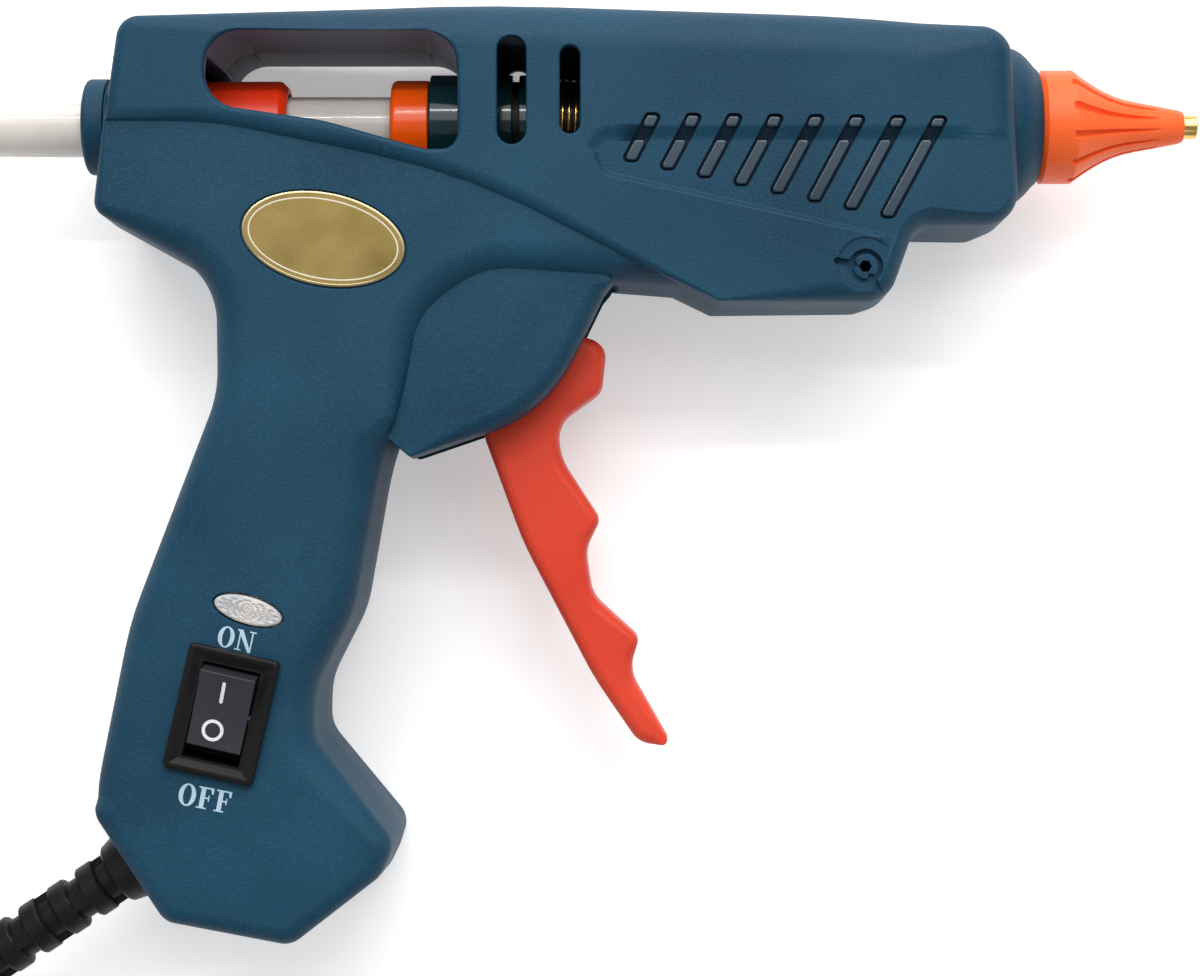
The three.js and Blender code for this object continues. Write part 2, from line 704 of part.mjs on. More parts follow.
// A hole round the cord at the handle's foot, along the cord
const cordHoleReach = 8;
function alongCord(from, to, radius, sides = hiddenSides, endRadius = radius) {
  const geometry = new THREE.CylinderGeometry(radius, endRadius, to - from, sides);
  geometry.rotateZ(Math.PI / 2);
  geometry.translate((from + to) / 2, 0, 0);
  geometry.rotateZ(cordAngle);
  geometry.translate(entryX, entryY, 0);
  return solid(geometry);
}
const cordHole = alongCord(-cordHoleReach, cordHoleReach, reliefNeckRadius + seatGap);
const cordPocket = alongCord(-cordHoleReach, -wall, reliefFlangeRadius + seatGap);
const clampX = entryX - clampInset * cordAlong.x;
const clampY = entryY - clampInset * cordAlong.y;
const clampAcross = new THREE.Vector2(-cordAlong.y, cordAlong.x);
const clampPosts = [-clampHalfSpan, clampHalfSpan].map((offset) => [
  clampX + offset * clampAcross.x, clampY + offset * clampAcross.y]);

// Right half, with the switch, the lens and the badge
const switchHole = prism(tiltedBox(switchX, switchY, switchHoleLength, switchHoleWidth, switchTilt),
  halfThickness - 3 * wall, halfThickness + overrun);
const lensHole = prism(oval(lensX, lensY, lensLength, lensWidth, lensTilt), halfThickness - 3 * wall,
  halfThickness + overrun);
const badgeTop = handleTop({ y: badgeY });
const badgeHole = prism(oval(badgeX, badgeY, badgeLength + 2 * seatGap, badgeWidth + 2 * seatGap, badgeTilt),
  badgeTop - badgeRecess, halfThickness + overrun);
const screwTipHoles = screwPlaces.map(([x, y]) => rod(x, y, screwRadius + seatGap / 2, 0,
  screwLength - (halfThickness - screwHeadDepth) + overrun, screwSides));
const rightHalf = shell([], [switchHole, lensHole, badgeHole, cordHole, cordPocket, ...screwTipHoles]);
piece('housing_right', rightHalf, finishes.housing);

// Left half, mirrored, with the screw wells, the cord clamp's posts and the spring's post
const springPost = rod(springPostX, springY, springPostRadius, springPlane - springRadius, halfThickness)
  .intersect(rooted);
const clampPostSolids = clampPosts.map(([x, y]) => cut(
  rod(x, y, clampPostRadius, clampPostTop, halfThickness).intersect(rooted),
  rod(x, y, clampScrewRadius + seatGap / 2, 0, clampPostTop + clampScrewGrip + overrun, smallSides)));
const screwWells = screwPlaces.flatMap(([x, y]) => [
  rod(x, y, screwHeadRadius + seatGap, halfThickness - screwHeadDepth, halfThickness + overrun, smallSides),
  rod(x, y, screwRadius + seatGap / 2, 0, halfThickness, screwSides),
]);
const leftHalf = shell([springPost, ...clampPostSolids], [cordHole, cordPocket, ...screwWells]);
piece('housing_left', mirrored(leftHalf), finishes.housing);

// A closed tube along points, by frames that never twist, for springs and coiled cord
function wound(points, radius, sides) {
  const positions = [];
  const index = [];
  const tangents = points.map((_, i) => points[Math.min(i + 1, points.length - 1)].clone()
    .sub(points[Math.max(i - 1, 0)]).normalize());
  const upright = Math.abs(tangents[0].z) > Math.SQRT1_2;
  const start = upright ? new THREE.Vector3(0, 1, 0) : new THREE.Vector3(0, 0, 1);
  const normal = start.addScaledVector(tangents[0], -start.dot(tangents[0])).normalize();
  points.forEach((point, k) => {
    if (k > 0) {
      normal.applyQuaternion(new THREE.Quaternion().setFromUnitVectors(tangents[k - 1], tangents[k]));
    }
    const side = tangents[k].clone().cross(normal);
    for (let i = 0; i < sides; i += 1) {
      const angle = 2 * Math.PI * i / sides;
      positions.push(...point.clone().addScaledVector(normal, radius * Math.cos(angle))
        .addScaledVector(side, radius * Math.sin(angle)).toArray());
    }
  });
  for (let k = 0; k + 1 < points.length; k += 1) {
    for (let i = 0; i < sides; i += 1) {
      const a = k * sides + i;
      const b = k * sides + (i + 1) % sides;
      index.push(a, b, b + sides, a, b + sides, a + sides);
    }
  }
  const last = (points.length - 1) * sides;
  for (let i = 1; i + 1 < sides; i += 1) index.push(0, i + 1, i, last, last + i, last + i + 1);
  const geometry = new THREE.BufferGeometry();
  geometry.setAttribute('position', new THREE.Float32BufferAttribute(positions, 3));
  geometry.setIndex(index);
  return geometry;
}

// Least clear space between turns: from points more than half a turn apart along the wire
function leastGap(points, radius, turnLength) {
  const along = [0];
  for (let i = 1; i < points.length; i += 1) along.push(along[i - 1] + points[i].distanceTo(points[i - 1]));
  let least = Infinity;
  for (let i = 0; i < points.length; i += 1) {
    for (let j = i + 1; j < points.length; j += 1) {
      if (along[j] - along[i] > turnLength / 2) least = Math.min(least, points[i].distanceTo(points[j]));
    }
  }
  return least - 2 * radius;
}

// Points of a helix about a line along X
const curlSteps = 8;
const curlSides = 5;
function helix(x0, x1, y, z, radius, curls, startAngle) {
  return Array.from({ length: curls * curlSteps + 1 }, (_, i) => {
    const angle = startAngle + 2 * Math.PI * i / curlSteps;
    return new THREE.Vector3(
      THREE.MathUtils.lerp(x0, x1, i / (curls * curlSteps)),
      y + radius * Math.sin(angle),
      z + radius * Math.cos(angle),
    );
  });
}

// Rear guide: an outer flange on the rear wall, a neck through it, and an inner flange behind it
const guideFlange = 1.8;
const guideEdge = 1;
piece('rear_guide_ring', turned([
  [-guideStandout, guideBore + guideEdge],
  [guideEdge - guideStandout, guideBore],
  [guideInnerStart + guideFlange, guideBore],
  [guideInnerStart + guideFlange, guideRadius],
  [guideInnerStart, guideRadius],
  [guideInnerStart, guideNeckRadius],
  [0, guideNeckRadius],
  [0, guideRadius],
  [guideEdge - guideStandout, guideRadius],
  [-guideStandout, guideRadius - guideEdge],
  [-guideStandout, guideBore + guideEdge],
], ringSides), finishes.housing);

// Glue stick, from behind the guide into the chamber's inlet
const stickStart = -guideStandout - stickStandout;
const stickEdge = 0.3;
piece('glue_stick', turned([
  [stickStart, 0],
  [stickStart, stickRadius - stickEdge],
  [stickStart + stickEdge, stickRadius],
  [stickStart + stickLength, stickRadius],
  [stickStart + stickLength, 0],
], ringSides), finishes.glue);

// Feed carriage: a sleeve round the stick, keyed in the housing's rails, with cheeks for pawl and link
const carriageEnd = carriageStart + carriageLength;
const carriageBore = carriageRadius - carriageWall;
const carriageBevel = 1.4;
const cheekInner = 2.2;
const cheekOuter = 4.3;
const cheekTop = -carriageBore - 0.25 * carriageWall;
const lugRadius = 3.3;
const linkPinRadius = 1.5;
const pawlPinRadius = 1.2;
const pawlHubRadius = 2.3;
const pawlHalf = 1.8;
const pawlReach = 6;
const pawlX = carriageStart + 0.366 * carriageLength;
const pawlY = -carriageRadius - pawlHubRadius - 2 * seatGap;
const pawlTipX = pawlX + pawlReach;
const pawlTipY = -carriageBore - seatGap / 2;
const keyStart = 0.7 * carriageRadius;
const carriageTube = cut(turned([
  [carriageStart, carriageBore],
  [carriageEnd, carriageBore],
  [carriageEnd, carriageRadius - carriageBevel],
  [carriageEnd - carriageBevel, carriageRadius],
  [carriageStart, carriageRadius],
  [carriageStart, carriageBore],
], ringSides), block(pawlX - pawlHubRadius / 4, pawlTipX + cheekInner, -carriageRadius - overrun, 0,
  -cheekInner, cheekInner));
const cheekOutline = cornered([
  [pawlX - pawlHubRadius, cheekTop],
  [pawlX - pawlHubRadius, pawlY - pawlHubRadius, pawlHubRadius],
  [pawlX + pawlHubRadius, pawlY - pawlHubRadius, pawlHubRadius],
  [lugX - lugRadius, armEndY - lugRadius, lugRadius],
  [lugX + lugRadius, armEndY - lugRadius, lugRadius],
  [lugX + lugRadius, cheekTop],
]);
const cheek = cut(
  prism(cheekOutline, cheekInner, cheekOuter),
  rod(pawlX, pawlY, pawlPinRadius + seatGap / 2, 0, 2 * cheekOuter, smallSides),
  rod(lugX, armEndY, linkPinRadius + seatGap / 2, 0, 2 * cheekOuter, smallSides),
);
const key = block(carriageStart, carriageEnd, keyBottom, keyTop, keyStart, keyReach);
piece('feed_carriage', join(carriageTube, cheek, solid(mirrored(cheek)), key, solid(mirrored(key))),
  finishes.nozzleSilicone);

// Grip pawl, whose tip bites the stick when the link pulls
const pawlBack = 0.87 * pawlHubRadius;
const pawlOutline = [
  [pawlX - pawlHubRadius / 2, pawlY + pawlBack],
  [pawlTipX - pawlHubRadius / 2, pawlTipY - seatGap],
  [pawlTipX, pawlTipY],
  [pawlTipX + pawlHubRadius / 4, pawlTipY - pawlHubRadius / 3],
  [pawlX + pawlBack, pawlY - pawlHubRadius / 2],
  [pawlX, pawlY],
].map(([x, y]) => new THREE.Vector2(x, y));
piece('grip_pawl', cut(
  join(rod(pawlX, pawlY, pawlHubRadius, -pawlHalf, pawlHalf), prism(pawlOutline, -pawlHalf, pawlHalf)),
  rod(pawlX, pawlY, pawlPinRadius + seatGap, -cheekOuter, cheekOuter, smallSides),
), finishes.steel);
piece('pawl_pin', rod(pawlX, pawlY, pawlPinRadius, -cheekOuter, cheekOuter, smallSides), finishes.steel);
piece('link_pin', rod(lugX, armEndY, linkPinRadius, -cheekOuter, cheekOuter, smallSides), finishes.steel);

// Push link from the trigger's arm to the carriage; its rear hole has play, where the linkage is open
const linkHalf = 1.2;
const linkWidth = 6;
const linkPlay = 0.7;
piece('push_link', cut(
  prism(slot(lugX, armEndY, armEndX, armEndY, linkWidth), -linkHalf, linkHalf),
  rod(lugX, armEndY, linkPinRadius + linkPlay, -cheekOuter, cheekOuter, smallSides),
  rod(armEndX, armEndY, linkPinRadius + seatGap, -cheekOuter, cheekOuter, smallSides),
), finishes.steel);

// Trigger: three finger hollows in front, hollow behind, a hub on the pivot and a forked arm above it
const onTrigger = ([reachShare, dropShare, radius]) => [
  pivotX + reachShare * triggerReach, pivotY - dropShare * triggerDrop, radius, triggerRound];
const triggerCorners = [
  [0.572, 0.036, tight], [0.537, 0.153, tight], [0.254, 0.228, soft], [0.265, 0.307, broad],
  [0.53, 0.457, knuckle], [0.434, 0.53, soft], [0.48, 0.638, soft], [0.787, 0.74, knuckle],
  [0.72, 0.82, soft], [1, 1, crisp], [0.777, 0.996, firm], [0.48, 0.837, sweep],
  [0.021, 0.515, sweep], [-0.219, 0.275, 0], [-0.35, 0.119, soft], [-0.367, 0.08, soft],
  [-0.226, -0.099, soft], [0.233, -0.099, firm], [0.346, 0.009, 0],
].map(onTrigger);
const triggerHalf = triggerThickness / 2;
const triggerOutline = cornered(triggerCorners);
const triggerSkin = 2.6;
const triggerFront = 2 * triggerSkin;
const hollow = prism(
  triggerOutline.map((point) => new THREE.Vector2(point.x - triggerFront, point.y)),
  -overrun, triggerHalf - triggerSkin,
).intersect(block(0, barrelLength, pivotY - triggerDrop + triggerFront, pivotY - triggerFront - triggerSkin,
  -overrun, triggerHalf));
const armHalf = 4.5;
const armWidth = 7.6;
const forkDepth = 5.4;
const pegRadius = 1.4;
const arm = cut(
  prism(slot(pivotX, pivotY, armEndX, armEndY, armWidth), 0, armHalf),
  block(armEndX - armWidth, armEndX + armWidth, armEndY - forkDepth, armEndY + armWidth, -overrun,
    linkHalf + seatGap),
);
const triggerBody = both(join(cut(moulding(triggerOutline, () => triggerHalf, 0, 2), hollow), arm));
piece('trigger', cut(
  join(triggerBody, rod(springX, springY, pegRadius, -springPlane - springRadius, overrun - armHalf,
    smallSides)),
  rod(pivotX, pivotY, pinRadius + runningGap, -triggerThickness, triggerThickness),
  rod(armEndX, armEndY, linkPinRadius + seatGap / 2, -triggerThickness, triggerThickness, smallSides),
), finishes.triggerPlastic);
const pivotPinHalf = halfThickness - leafStep - wall / 2 - seatGap;
piece('trigger_pin', rod(pivotX, pivotY, pinRadius, -pivotPinHalf, pivotPinHalf), finishes.steel);
piece('arm_pin', rod(armEndX, armEndY, linkPinRadius, -armHalf, armHalf, smallSides), finishes.steel);

// Return spring, hooked round the left half's post and the arm's peg
const returnCurls = 8;
const hookSteps = 6;
function hook(x, radius, from, to) {
  return Array.from({ length: hookSteps + 1 }, (_, i) => {
    const angle = THREE.MathUtils.lerp(from, to, i / hookSteps);
    return new THREE.Vector3(x + radius * Math.cos(angle), springY + radius * Math.sin(angle), -springPlane);
  });
}
const postHookRadius = springPostRadius + seatGap + springWireRadius;
const pegHookRadius = pegRadius + seatGap + springWireRadius;
const returnSpringPoints = [
  ...hook(springPostX, postHookRadius, Math.PI / 2, 1.5 * Math.PI),
  ...helix(springPostX + 2 * postHookRadius, springX - 2 * pegHookRadius, springY, -springPlane,
    springRadius, returnCurls, -Math.PI / 2),
  ...hook(springX, pegHookRadius, -Math.PI / 2, Math.PI / 2),
];
piece('return_spring', wound(returnSpringPoints, springWireRadius, curlSides), finishes.steel);

// Inlet sleeve of silicone: a flange in the window, then a tube that ends round the chamber's nipple
const sleevePastVent = 4.2;
const sleeveEnd = ventTwoX + sleevePastVent;
const sleeveBore = stickRadius + seatGap;
const sleeveEdge = 1;
const nippleRadius = 7.2;
piece('inlet_sleeve', turned([
  [sleeveStart, sleeveBore],
  [chamberStart - seatGap, sleeveBore],
  [chamberStart - seatGap, nippleRadius + seatGap],
  [sleeveEnd, nippleRadius + seatGap],
  [sleeveEnd, sleeveRadius],
  [sleeveStart + sleeveFlangeLength, sleeveRadius],
  [sleeveStart + sleeveFlangeLength, sleeveFlangeRadius],
  [sleeveStart + sleeveEdge, sleeveFlangeRadius],
  [sleeveStart, sleeveFlangeRadius - sleeveEdge],
  [sleeveStart, sleeveBore],
], ringSides), finishes.nozzleSilicone);

// Inlet tube in its rib, the collar that stops the sleeve's spring, and that spring
function tubePiece(name, x0, x1, inner, outer, sides, finish) {
  piece(name, turned([[x0, inner], [x1, inner], [x1, outer], [x0, outer], [x0, inner]], sides), finish);
}
tubePiece('inlet_tube', tubeStart, tubeEnd, sleeveRadius + runningGap, tubeRadius, ringSides,
  finishes.darkPlastic);
tubePiece('retaining_collar', collarStart, collarEnd, sleeveRadius + seatGap, tubeRadius,
  ringSides, finishes.darkPlastic);
const sleeveCurls = 8;
const sleeveCoilRadius = (sleeveRadius + springWire / 2 + seatGap / 2) / Math.cos(Math.PI / curlSteps);
const sleeveSpringPoints = helix(collarEnd + springWire / 2 + seatGap, sleeveEnd - springWire, 0, 0,
  sleeveCoilRadius, sleeveCurls, 0);
piece('sleeve_spring', wound(sleeveSpringPoints, springWire / 2, curlSides), finishes.brass);

// Melt chamber: a cast barrel with a box below it for the heater, a tapering bore and a nozzle thread
const chamberBodyStart = sleeveEnd + seatGap;
const chamberPastRing = 2;
const chamberEnd = frontRingX + chamberRingLength + chamberPastRing;
const nippleBore = sleeveBore;
const boreEnd = 3.2;
const threadDepth = 12;
const shankRadius = 3.2;
const heaterLength = 40;
const heaterOverhang = 0.8;
const heaterStart = rearRingX + chamberRingLength + 2 * seatGap + ribThickness + runningGap;
const heaterEnd = heaterStart + heaterLength;
const heaterHalf = 4.9;
const heaterFloor = 3.6;
const heaterTop = -chamberRadius - heaterFloor;
const heaterThickness = 3;
const heaterWall = 1.9;
const chamberBody = turned([
  [chamberStart, nippleBore],
  [chamberBodyStart, nippleBore],
  [chamberEnd - threadDepth, boreEnd],
  [chamberEnd - threadDepth, shankRadius + seatGap],
  [chamberEnd, shankRadius + seatGap],
  [chamberEnd, chamberRadius],
  [chamberBodyStart, chamberRadius],
  [chamberBodyStart, nippleRadius],
  [chamberStart, nippleRadius],
  [chamberStart, nippleBore],
], hiddenSides);
const heaterBox = cut(
  block(heaterStart, heaterEnd, heaterTop - heaterThickness - heaterWall - seatGap, -0.75 * chamberRadius,
    -heaterHalf - heaterWall, heaterHalf + heaterWall),
  block(heaterStart - overrun, heaterEnd + overrun, heaterTop - heaterThickness - seatGap,
    heaterTop + seatGap, -heaterHalf - seatGap, heaterHalf + seatGap),
);
piece('melt_chamber', join(chamberBody, heaterBox), finishes.aluminium);
tubePiece('chamber_ring_rear', rearRingX + seatGap, rearRingX + seatGap + chamberRingLength,
  chamberRadius + seatGap, chamberRingRadius, hiddenSides, finishes.ceramic);
tubePiece('chamber_ring_front', frontRingX + seatGap, frontRingX + seatGap + chamberRingLength,
  chamberRadius + seatGap, chamberRingRadius, hiddenSides, finishes.ceramic);
piece('heater_plate', block(heaterStart - heaterOverhang, heaterEnd + heaterOverhang,
  heaterTop - heaterThickness, heaterTop, -heaterHalf, heaterHalf), finishes.ceramic);

// Heater clip: a steel strap round the box, open where it is pushed on from below
const clipThickness = 0.8;
const clipHalfLength = 8;
const clipInner = heaterHalf + heaterWall + seatGap;
const clipFloor = heaterTop - heaterThickness - heaterWall - 2 * seatGap;
const clipMiddle = (heaterStart + heaterEnd) / 2;
piece('heater_clip', cut(
  block(clipMiddle - clipHalfLength, clipMiddle + clipHalfLength, clipFloor - clipThickness,
    -chamberRadius - seatGap, -clipInner - clipThickness, clipInner + clipThickness),
  block(clipMiddle - 2 * clipHalfLength, clipMiddle + 2 * clipHalfLength, clipFloor, 0,
    -clipInner, clipInner),
), finishes.steel);

// Nozzle: threaded shank, hexagon, and a tapering barrel with a check valve's seat inside
const hexagonLength = 4.6;
const hexagonRadius = 7;
const nozzleRadius = 6.2;
const tipRadius = 2.25;
const orificeRadius = 1;
const tipLength = 10.4;
const taperLength = 10;
const hexagonStart = chamberEnd + seatGap;
const nozzleEnd = 1.2132 * barrelLength;
const tipStart = nozzleEnd - tipLength;
const taperStart = tipStart - taperLength;
const shankStart = chamberEnd - threadDepth + overrun;
const throatRadius = 1.8;
const valveRadius = 2.6;
const throatEnd = hexagonStart + hexagonLength;
const seatLength = 2;
const valveEnd = taperStart + seatLength;
const nozzleBody = turned([
  [shankStart, throatRadius],
  [throatEnd, throatRadius],
  [throatEnd + seatLength, valveRadius],
  [valveEnd, valveRadius],
  [tipStart, orificeRadius],
  [nozzleEnd, orificeRadius],
  [nozzleEnd, tipRadius],
  [tipStart, tipRadius],
  [taperStart, nozzleRadius],
  [hexagonStart, nozzleRadius],
  [hexagonStart, shankRadius],
  [shankStart, shankRadius],
  [shankStart, throatRadius],
], hiddenSides);
const hexagon = cut(
  turned([[hexagonStart, 0], [hexagonStart, hexagonRadius], [throatEnd, hexagonRadius], [throatEnd, 0]], 6),
  turned([[hexagonStart - overrun, 0], [hexagonStart - overrun, nozzleRadius - overrun],
    [throatEnd + overrun, nozzleRadius - overrun], [throatEnd + overrun, 0]], hiddenSides),
);
piece('nozzle', join(nozzleBody, hexagon), finishes.brass);

// Check valve in the nozzle: a ball that a small spring holds on the throat's seat
const ballRadius = 2.2;
const ballX = throatEnd + seatLength + ballRadius / 2;
const ballGeometry = new THREE.SphereGeometry(ballRadius, smallSides, smallSides / 2);
ballGeometry.translate(ballX, 0, 0);
piece('check_ball', solid(ballGeometry), finishes.steel);
const checkWireRadius = 0.25;
const checkCurls = 3;
piece('check_spring', wound(helix(ballX + ballRadius, valveEnd, 0, 0,
  valveRadius - checkWireRadius - seatGap, checkCurls, 0), checkWireRadius, curlSides), finishes.steel);

// Nozzle sleeve: a silicone cap with a neck in the housing's nose, a collar, and a fluted cone
const capNeckStart = throatEnd + seatGap;
const capStart = noseEnd + seatGap / 2;
const capRadius = 10.5;
const capLength = 27.2;
const capEnd = capStart + capLength;
const capEdge = 0.8;
const capBore = nozzleRadius + seatGap;
const capTipBore = tipRadius + seatGap;
const capNeckRadius = noseBore - seatGap;
const capCollarShare = 0.235;
const coneShares = [
  [0.15, 0.8], [0.235, 0.924], [0.338, 0.781], [0.46, 0.6], [0.6, 0.465], [1, 0.286]];
const fluteCount = 12;
const fluteSpreadShare = 0.22;
const fluteTurnShare = 0.5;
const fluteDepth = 1.1;
const fluteEndShare = 0.85;
const capCollar = turned([
  [capNeckStart, 0],
  [capNeckStart, capNeckRadius],
  [capStart, capNeckRadius],
  [capStart, capRadius - capEdge],
  [capStart + capEdge, capRadius],
  [capStart + capCollarShare * capLength - capEdge, capRadius],
  [capStart + capCollarShare * capLength, capRadius - capEdge],
  [capStart + capCollarShare * capLength, 0],
], noseSides);
// A ring of the cone in its own frame, z along the barrel: each flute has two edges and a bottom between
// them, and the whole ring is turned by a share of a flute, so that a rib is on top
const coneRing = ([lengthShare, radiusShare]) => Array.from({ length: fluteCount }, (_, i) => {
  const depth = fluteDepth * Math.sqrt(Math.max(1 - lengthShare / fluteEndShare, 0));
  return [-1, 0, 1].map((side) => {
    const angle = 2 * Math.PI * (i + fluteTurnShare + side * fluteSpreadShare) / fluteCount;
    const radius = radiusShare * capRadius - (side === 0 ? depth : 0);
    return new THREE.Vector3(radius * Math.cos(angle), radius * Math.sin(angle), lengthShare * capLength);
  });
}).flat();
const coneGeometry = geometryOf(loft(coneShares.map(coneRing)));
coneGeometry.rotateY(Math.PI / 2);
coneGeometry.translate(capStart, 0, 0);
const capHollow = turned([
  [capNeckStart - overrun, 0],
  [capNeckStart - overrun, capBore],
  [taperStart, capBore],
  [tipStart, capTipBore],
  [capEnd + overrun, capTipBore],
  [capEnd + overrun, 0],
], hiddenSides);
piece('nozzle_sleeve', cut(join(capCollar, solid(coneGeometry)), capHollow), finishes.nozzleSilicone);

// Badge in its recess, bare
piece('badge_plate', prism(oval(badgeX, badgeY, badgeLength, badgeWidth, badgeTilt),
  badgeTop - badgeRecess, badgeTop - badgeRecess + badgeThickness), finishes.gold);

// Indicator lens, pushed out through its hole from within, and the lamp behind it
const lensFlange = 1.6;
const lensDome = 0.5;
const lensRound = 0.9;
const lensInside = halfThickness - creaseStep - wall - partingGap;
const lensTop = handleTop({ y: lensY });
const lensOval = (grow) => oval(lensX, lensY, lensLength + 2 * grow, lensWidth + 2 * grow, lensTilt,
  lensSides);
piece('indicator_lens', join(
  loft([
    atHeight(lensOval(-seatGap), lensInside - lensFlange),
    atHeight(lensOval(-seatGap), lensTop),
    atHeight(lensOval(-seatGap - lensRound), lensTop + lensDome),
  ]),
  prism(lensOval(lensFlange), lensInside - lensFlange, lensInside),
), finishes.lens);
const lampRadius = 2.4;
const lampLength = 8;
piece('indicator_lamp', rod(lensX, lensY, lampRadius, lensInside - lensFlange - seatGap - lampLength,
  lensInside - lensFlange - seatGap), finishes.ceramic);

// Power switch: a bezel on the handle's face, a body through the hole, and three terminals
const bezelStart = halfThickness - partingGap;
const bezelThickness = 1.5;
const bezelTop = bezelStart + bezelThickness;
const switchDepth = 18;
const rockerWidth = 9.8;
const rockerRadius = 8.35;
const rockerSwing = THREE.MathUtils.degToRad(20);
const rockerPivotDepth = 1.9;
const rockerPivotZ = bezelTop - rockerPivotDepth;
const rockerFoot = 5.6;
const trunnionRadius = 1;
const trunnionLength = 1.2;
const terminalLength = 7;
const terminalWidth = 4.8;
const terminalThickness = 0.8;
const acrossSwitch = (body) => {
  const geometry = geometryOf(body);
  geometry.rotateZ(switchTilt);
  geometry.translate(switchX, switchY, 0);
  return geometry;
};
const trunnion = (radius, halfReach) => {
  const geometry = new THREE.CylinderGeometry(radius, radius, 2 * halfReach, 8);
  geometry.rotateZ(Math.PI / 2);
  geometry.translate(0, 0, rockerPivotZ);
  return solid(geometry);
};
const boxAbout = (width, length, z0, z1) => block(-width / 2, width / 2, -length / 2, length / 2, z0, z1);
const terminals = [-1, 0, 1].map((step) => block(-terminalWidth / 2, terminalWidth / 2,
  step * terminalLength - terminalThickness / 2, step * terminalLength + terminalThickness / 2,
  bezelTop - switchDepth - terminalLength, bezelTop - switchDepth + overrun));
piece('switch_body', acrossSwitch(cut(
  join(
    boxAbout(bezelWidth, bezelLength, bezelStart, bezelTop),
    boxAbout(switchHoleWidth - 2 * seatGap, switchHoleLength - 2 * seatGap, bezelTop - switchDepth,
      bezelStart + overrun / 2),
    ...terminals,
  ),
  boxAbout(rockerWidth + 2 * seatGap, 2 * (rockerRadius + seatGap), rockerPivotZ - rockerRadius,
    bezelTop + overrun),
  trunnion(trunnionRadius + seatGap, rockerWidth / 2 + trunnionLength + seatGap),
)), finishes.switchPlastic);

// Rocker with a hollow face; its ends are round the pivot, and it rests with the lower end pressed
const rockerFaceAngle = THREE.MathUtils.degToRad(22);
const rockerRimAngle = THREE.MathUtils.degToRad(-12);
const rockerHollow = 0.9;
const rockerRise = rockerRadius * Math.sin(rockerFaceAngle);
const rim = [rockerRimAngle, 0, rockerFaceAngle].map((angle) => [
  rockerRadius * Math.cos(angle), rockerRadius * Math.sin(angle)]);
const rockerOutline = [
  ...rim,
  [0, rockerRise - rockerHollow],
  ...[...rim].reverse().map(([along, up]) => [-along, up]),
  [-rockerRadius / 2, -rockerFoot],
  [rockerRadius / 2, -rockerFoot],
].map(([along, up]) => new THREE.Vector2(along, up).rotateAround(new THREE.Vector2(), rockerSwing / 2));
const rockerGeometry = new THREE.ExtrudeGeometry(new THREE.Shape(rockerOutline), {
  depth: rockerWidth, bevelEnabled: false });
rockerGeometry.rotateX(Math.PI / 2);
rockerGeometry.rotateZ(Math.PI / 2);
rockerGeometry.translate(-rockerWidth / 2, 0, rockerPivotZ);
piece('rocker', acrossSwitch(join(solid(rockerGeometry), trunnion(trunnionRadius,
  rockerWidth / 2 + trunnionLength))), finishes.switchPlastic);

// Strain relief: a flange behind the wall, a neck through it, a conical collar, and rings joined by webs
const reliefLength = 45;
const reliefCollarRadius = 7.4;
const reliefCollarTipRadius = 5.7;
const reliefCollarEnd = 6.3;
const reliefRingRadius = 5.1;
const reliefPitch = 6.3;
const reliefGap = 2.4;
const reliefRings = 6;
const reliefCore = 3.9;
const reliefWebWidth = 3;
const reliefFlangeThickness = 2.6;
const reliefBore = cordRadius + seatGap;
const reliefFlangeEnd = -wall - seatGap;
const webBox = (from, to, halfWidth, halfHeightOfWeb) => {
  const geometry = new THREE.BoxGeometry(to - from, 2 * halfWidth, 2 * halfHeightOfWeb);
  geometry.translate((from + to) / 2, 0, 0);
  geometry.rotateZ(cordAngle);
  geometry.translate(entryX, entryY, 0);
  return solid(geometry);
};
const reliefParts = Array.from({ length: reliefRings }, (_, i) => {
  const from = reliefCollarEnd + reliefGap + i * reliefPitch;
  const halves = [reliefRingRadius, reliefWebWidth / 2];
  if (i % 2 === 1) halves.reverse();
  return [
    alongCord(from, from + reliefPitch - reliefGap, reliefRingRadius, reliefSides),
    webBox(from - reliefGap - overrun / 2, from + overrun / 2, ...halves),
  ];
}).flat();
piece('strain_relief', cut(
  join(
    alongCord(reliefFlangeEnd - reliefFlangeThickness, reliefFlangeEnd, reliefFlangeRadius, reliefSides),
    alongCord(reliefFlangeEnd - overrun, overrun, reliefNeckRadius, reliefSides),
    alongCord(seatGap, reliefCollarEnd, reliefCollarRadius, reliefSides, reliefCollarTipRadius),
    alongCord(0, reliefLength, reliefCore, reliefSides),
    ...reliefParts,
  ),
  alongCord(-reliefLength, 2 * reliefLength, reliefBore, reliefSides),
), finishes.cordRubber);

// The cord's held stretch, through the strain relief to just past the clamp
const corePastClamp = 10;
const cordCoreEnd = clampInset + corePastClamp;
piece('cord_core', alongCord(-cordCoreEnd, reliefLength, cordRadius, cordSides), finishes.cordRubber);

// Cord clamp: a bridge across the cord, screwed to the left half's posts
const clampHalfLength = clampHalfSpan + clampPostRadius;
const clampHalfWidth = 3;
const clampTop = cordRadius + wall;
const clampBar = () => {
  const geometry = new THREE.BoxGeometry(2 * clampHalfWidth, 2 * clampHalfLength,
    clampTop + clampPostTop - seatGap);
  geometry.translate(-clampInset, 0, (clampTop - clampPostTop + seatGap) / 2);
  geometry.rotateZ(cordAngle);
  geometry.translate(entryX, entryY, 0);
  return solid(geometry);
};
piece('cord_clamp', cut(
  clampBar(),
  alongCord(-cordCoreEnd, reliefLength, cordRadius + seatGap, cordSides),
  ...clampPosts.map(([x, y]) => rod(x, y, clampScrewRadius + seatGap, -barrelThickness, barrelThickness,
    smallSides)),
), finishes.darkPlastic);

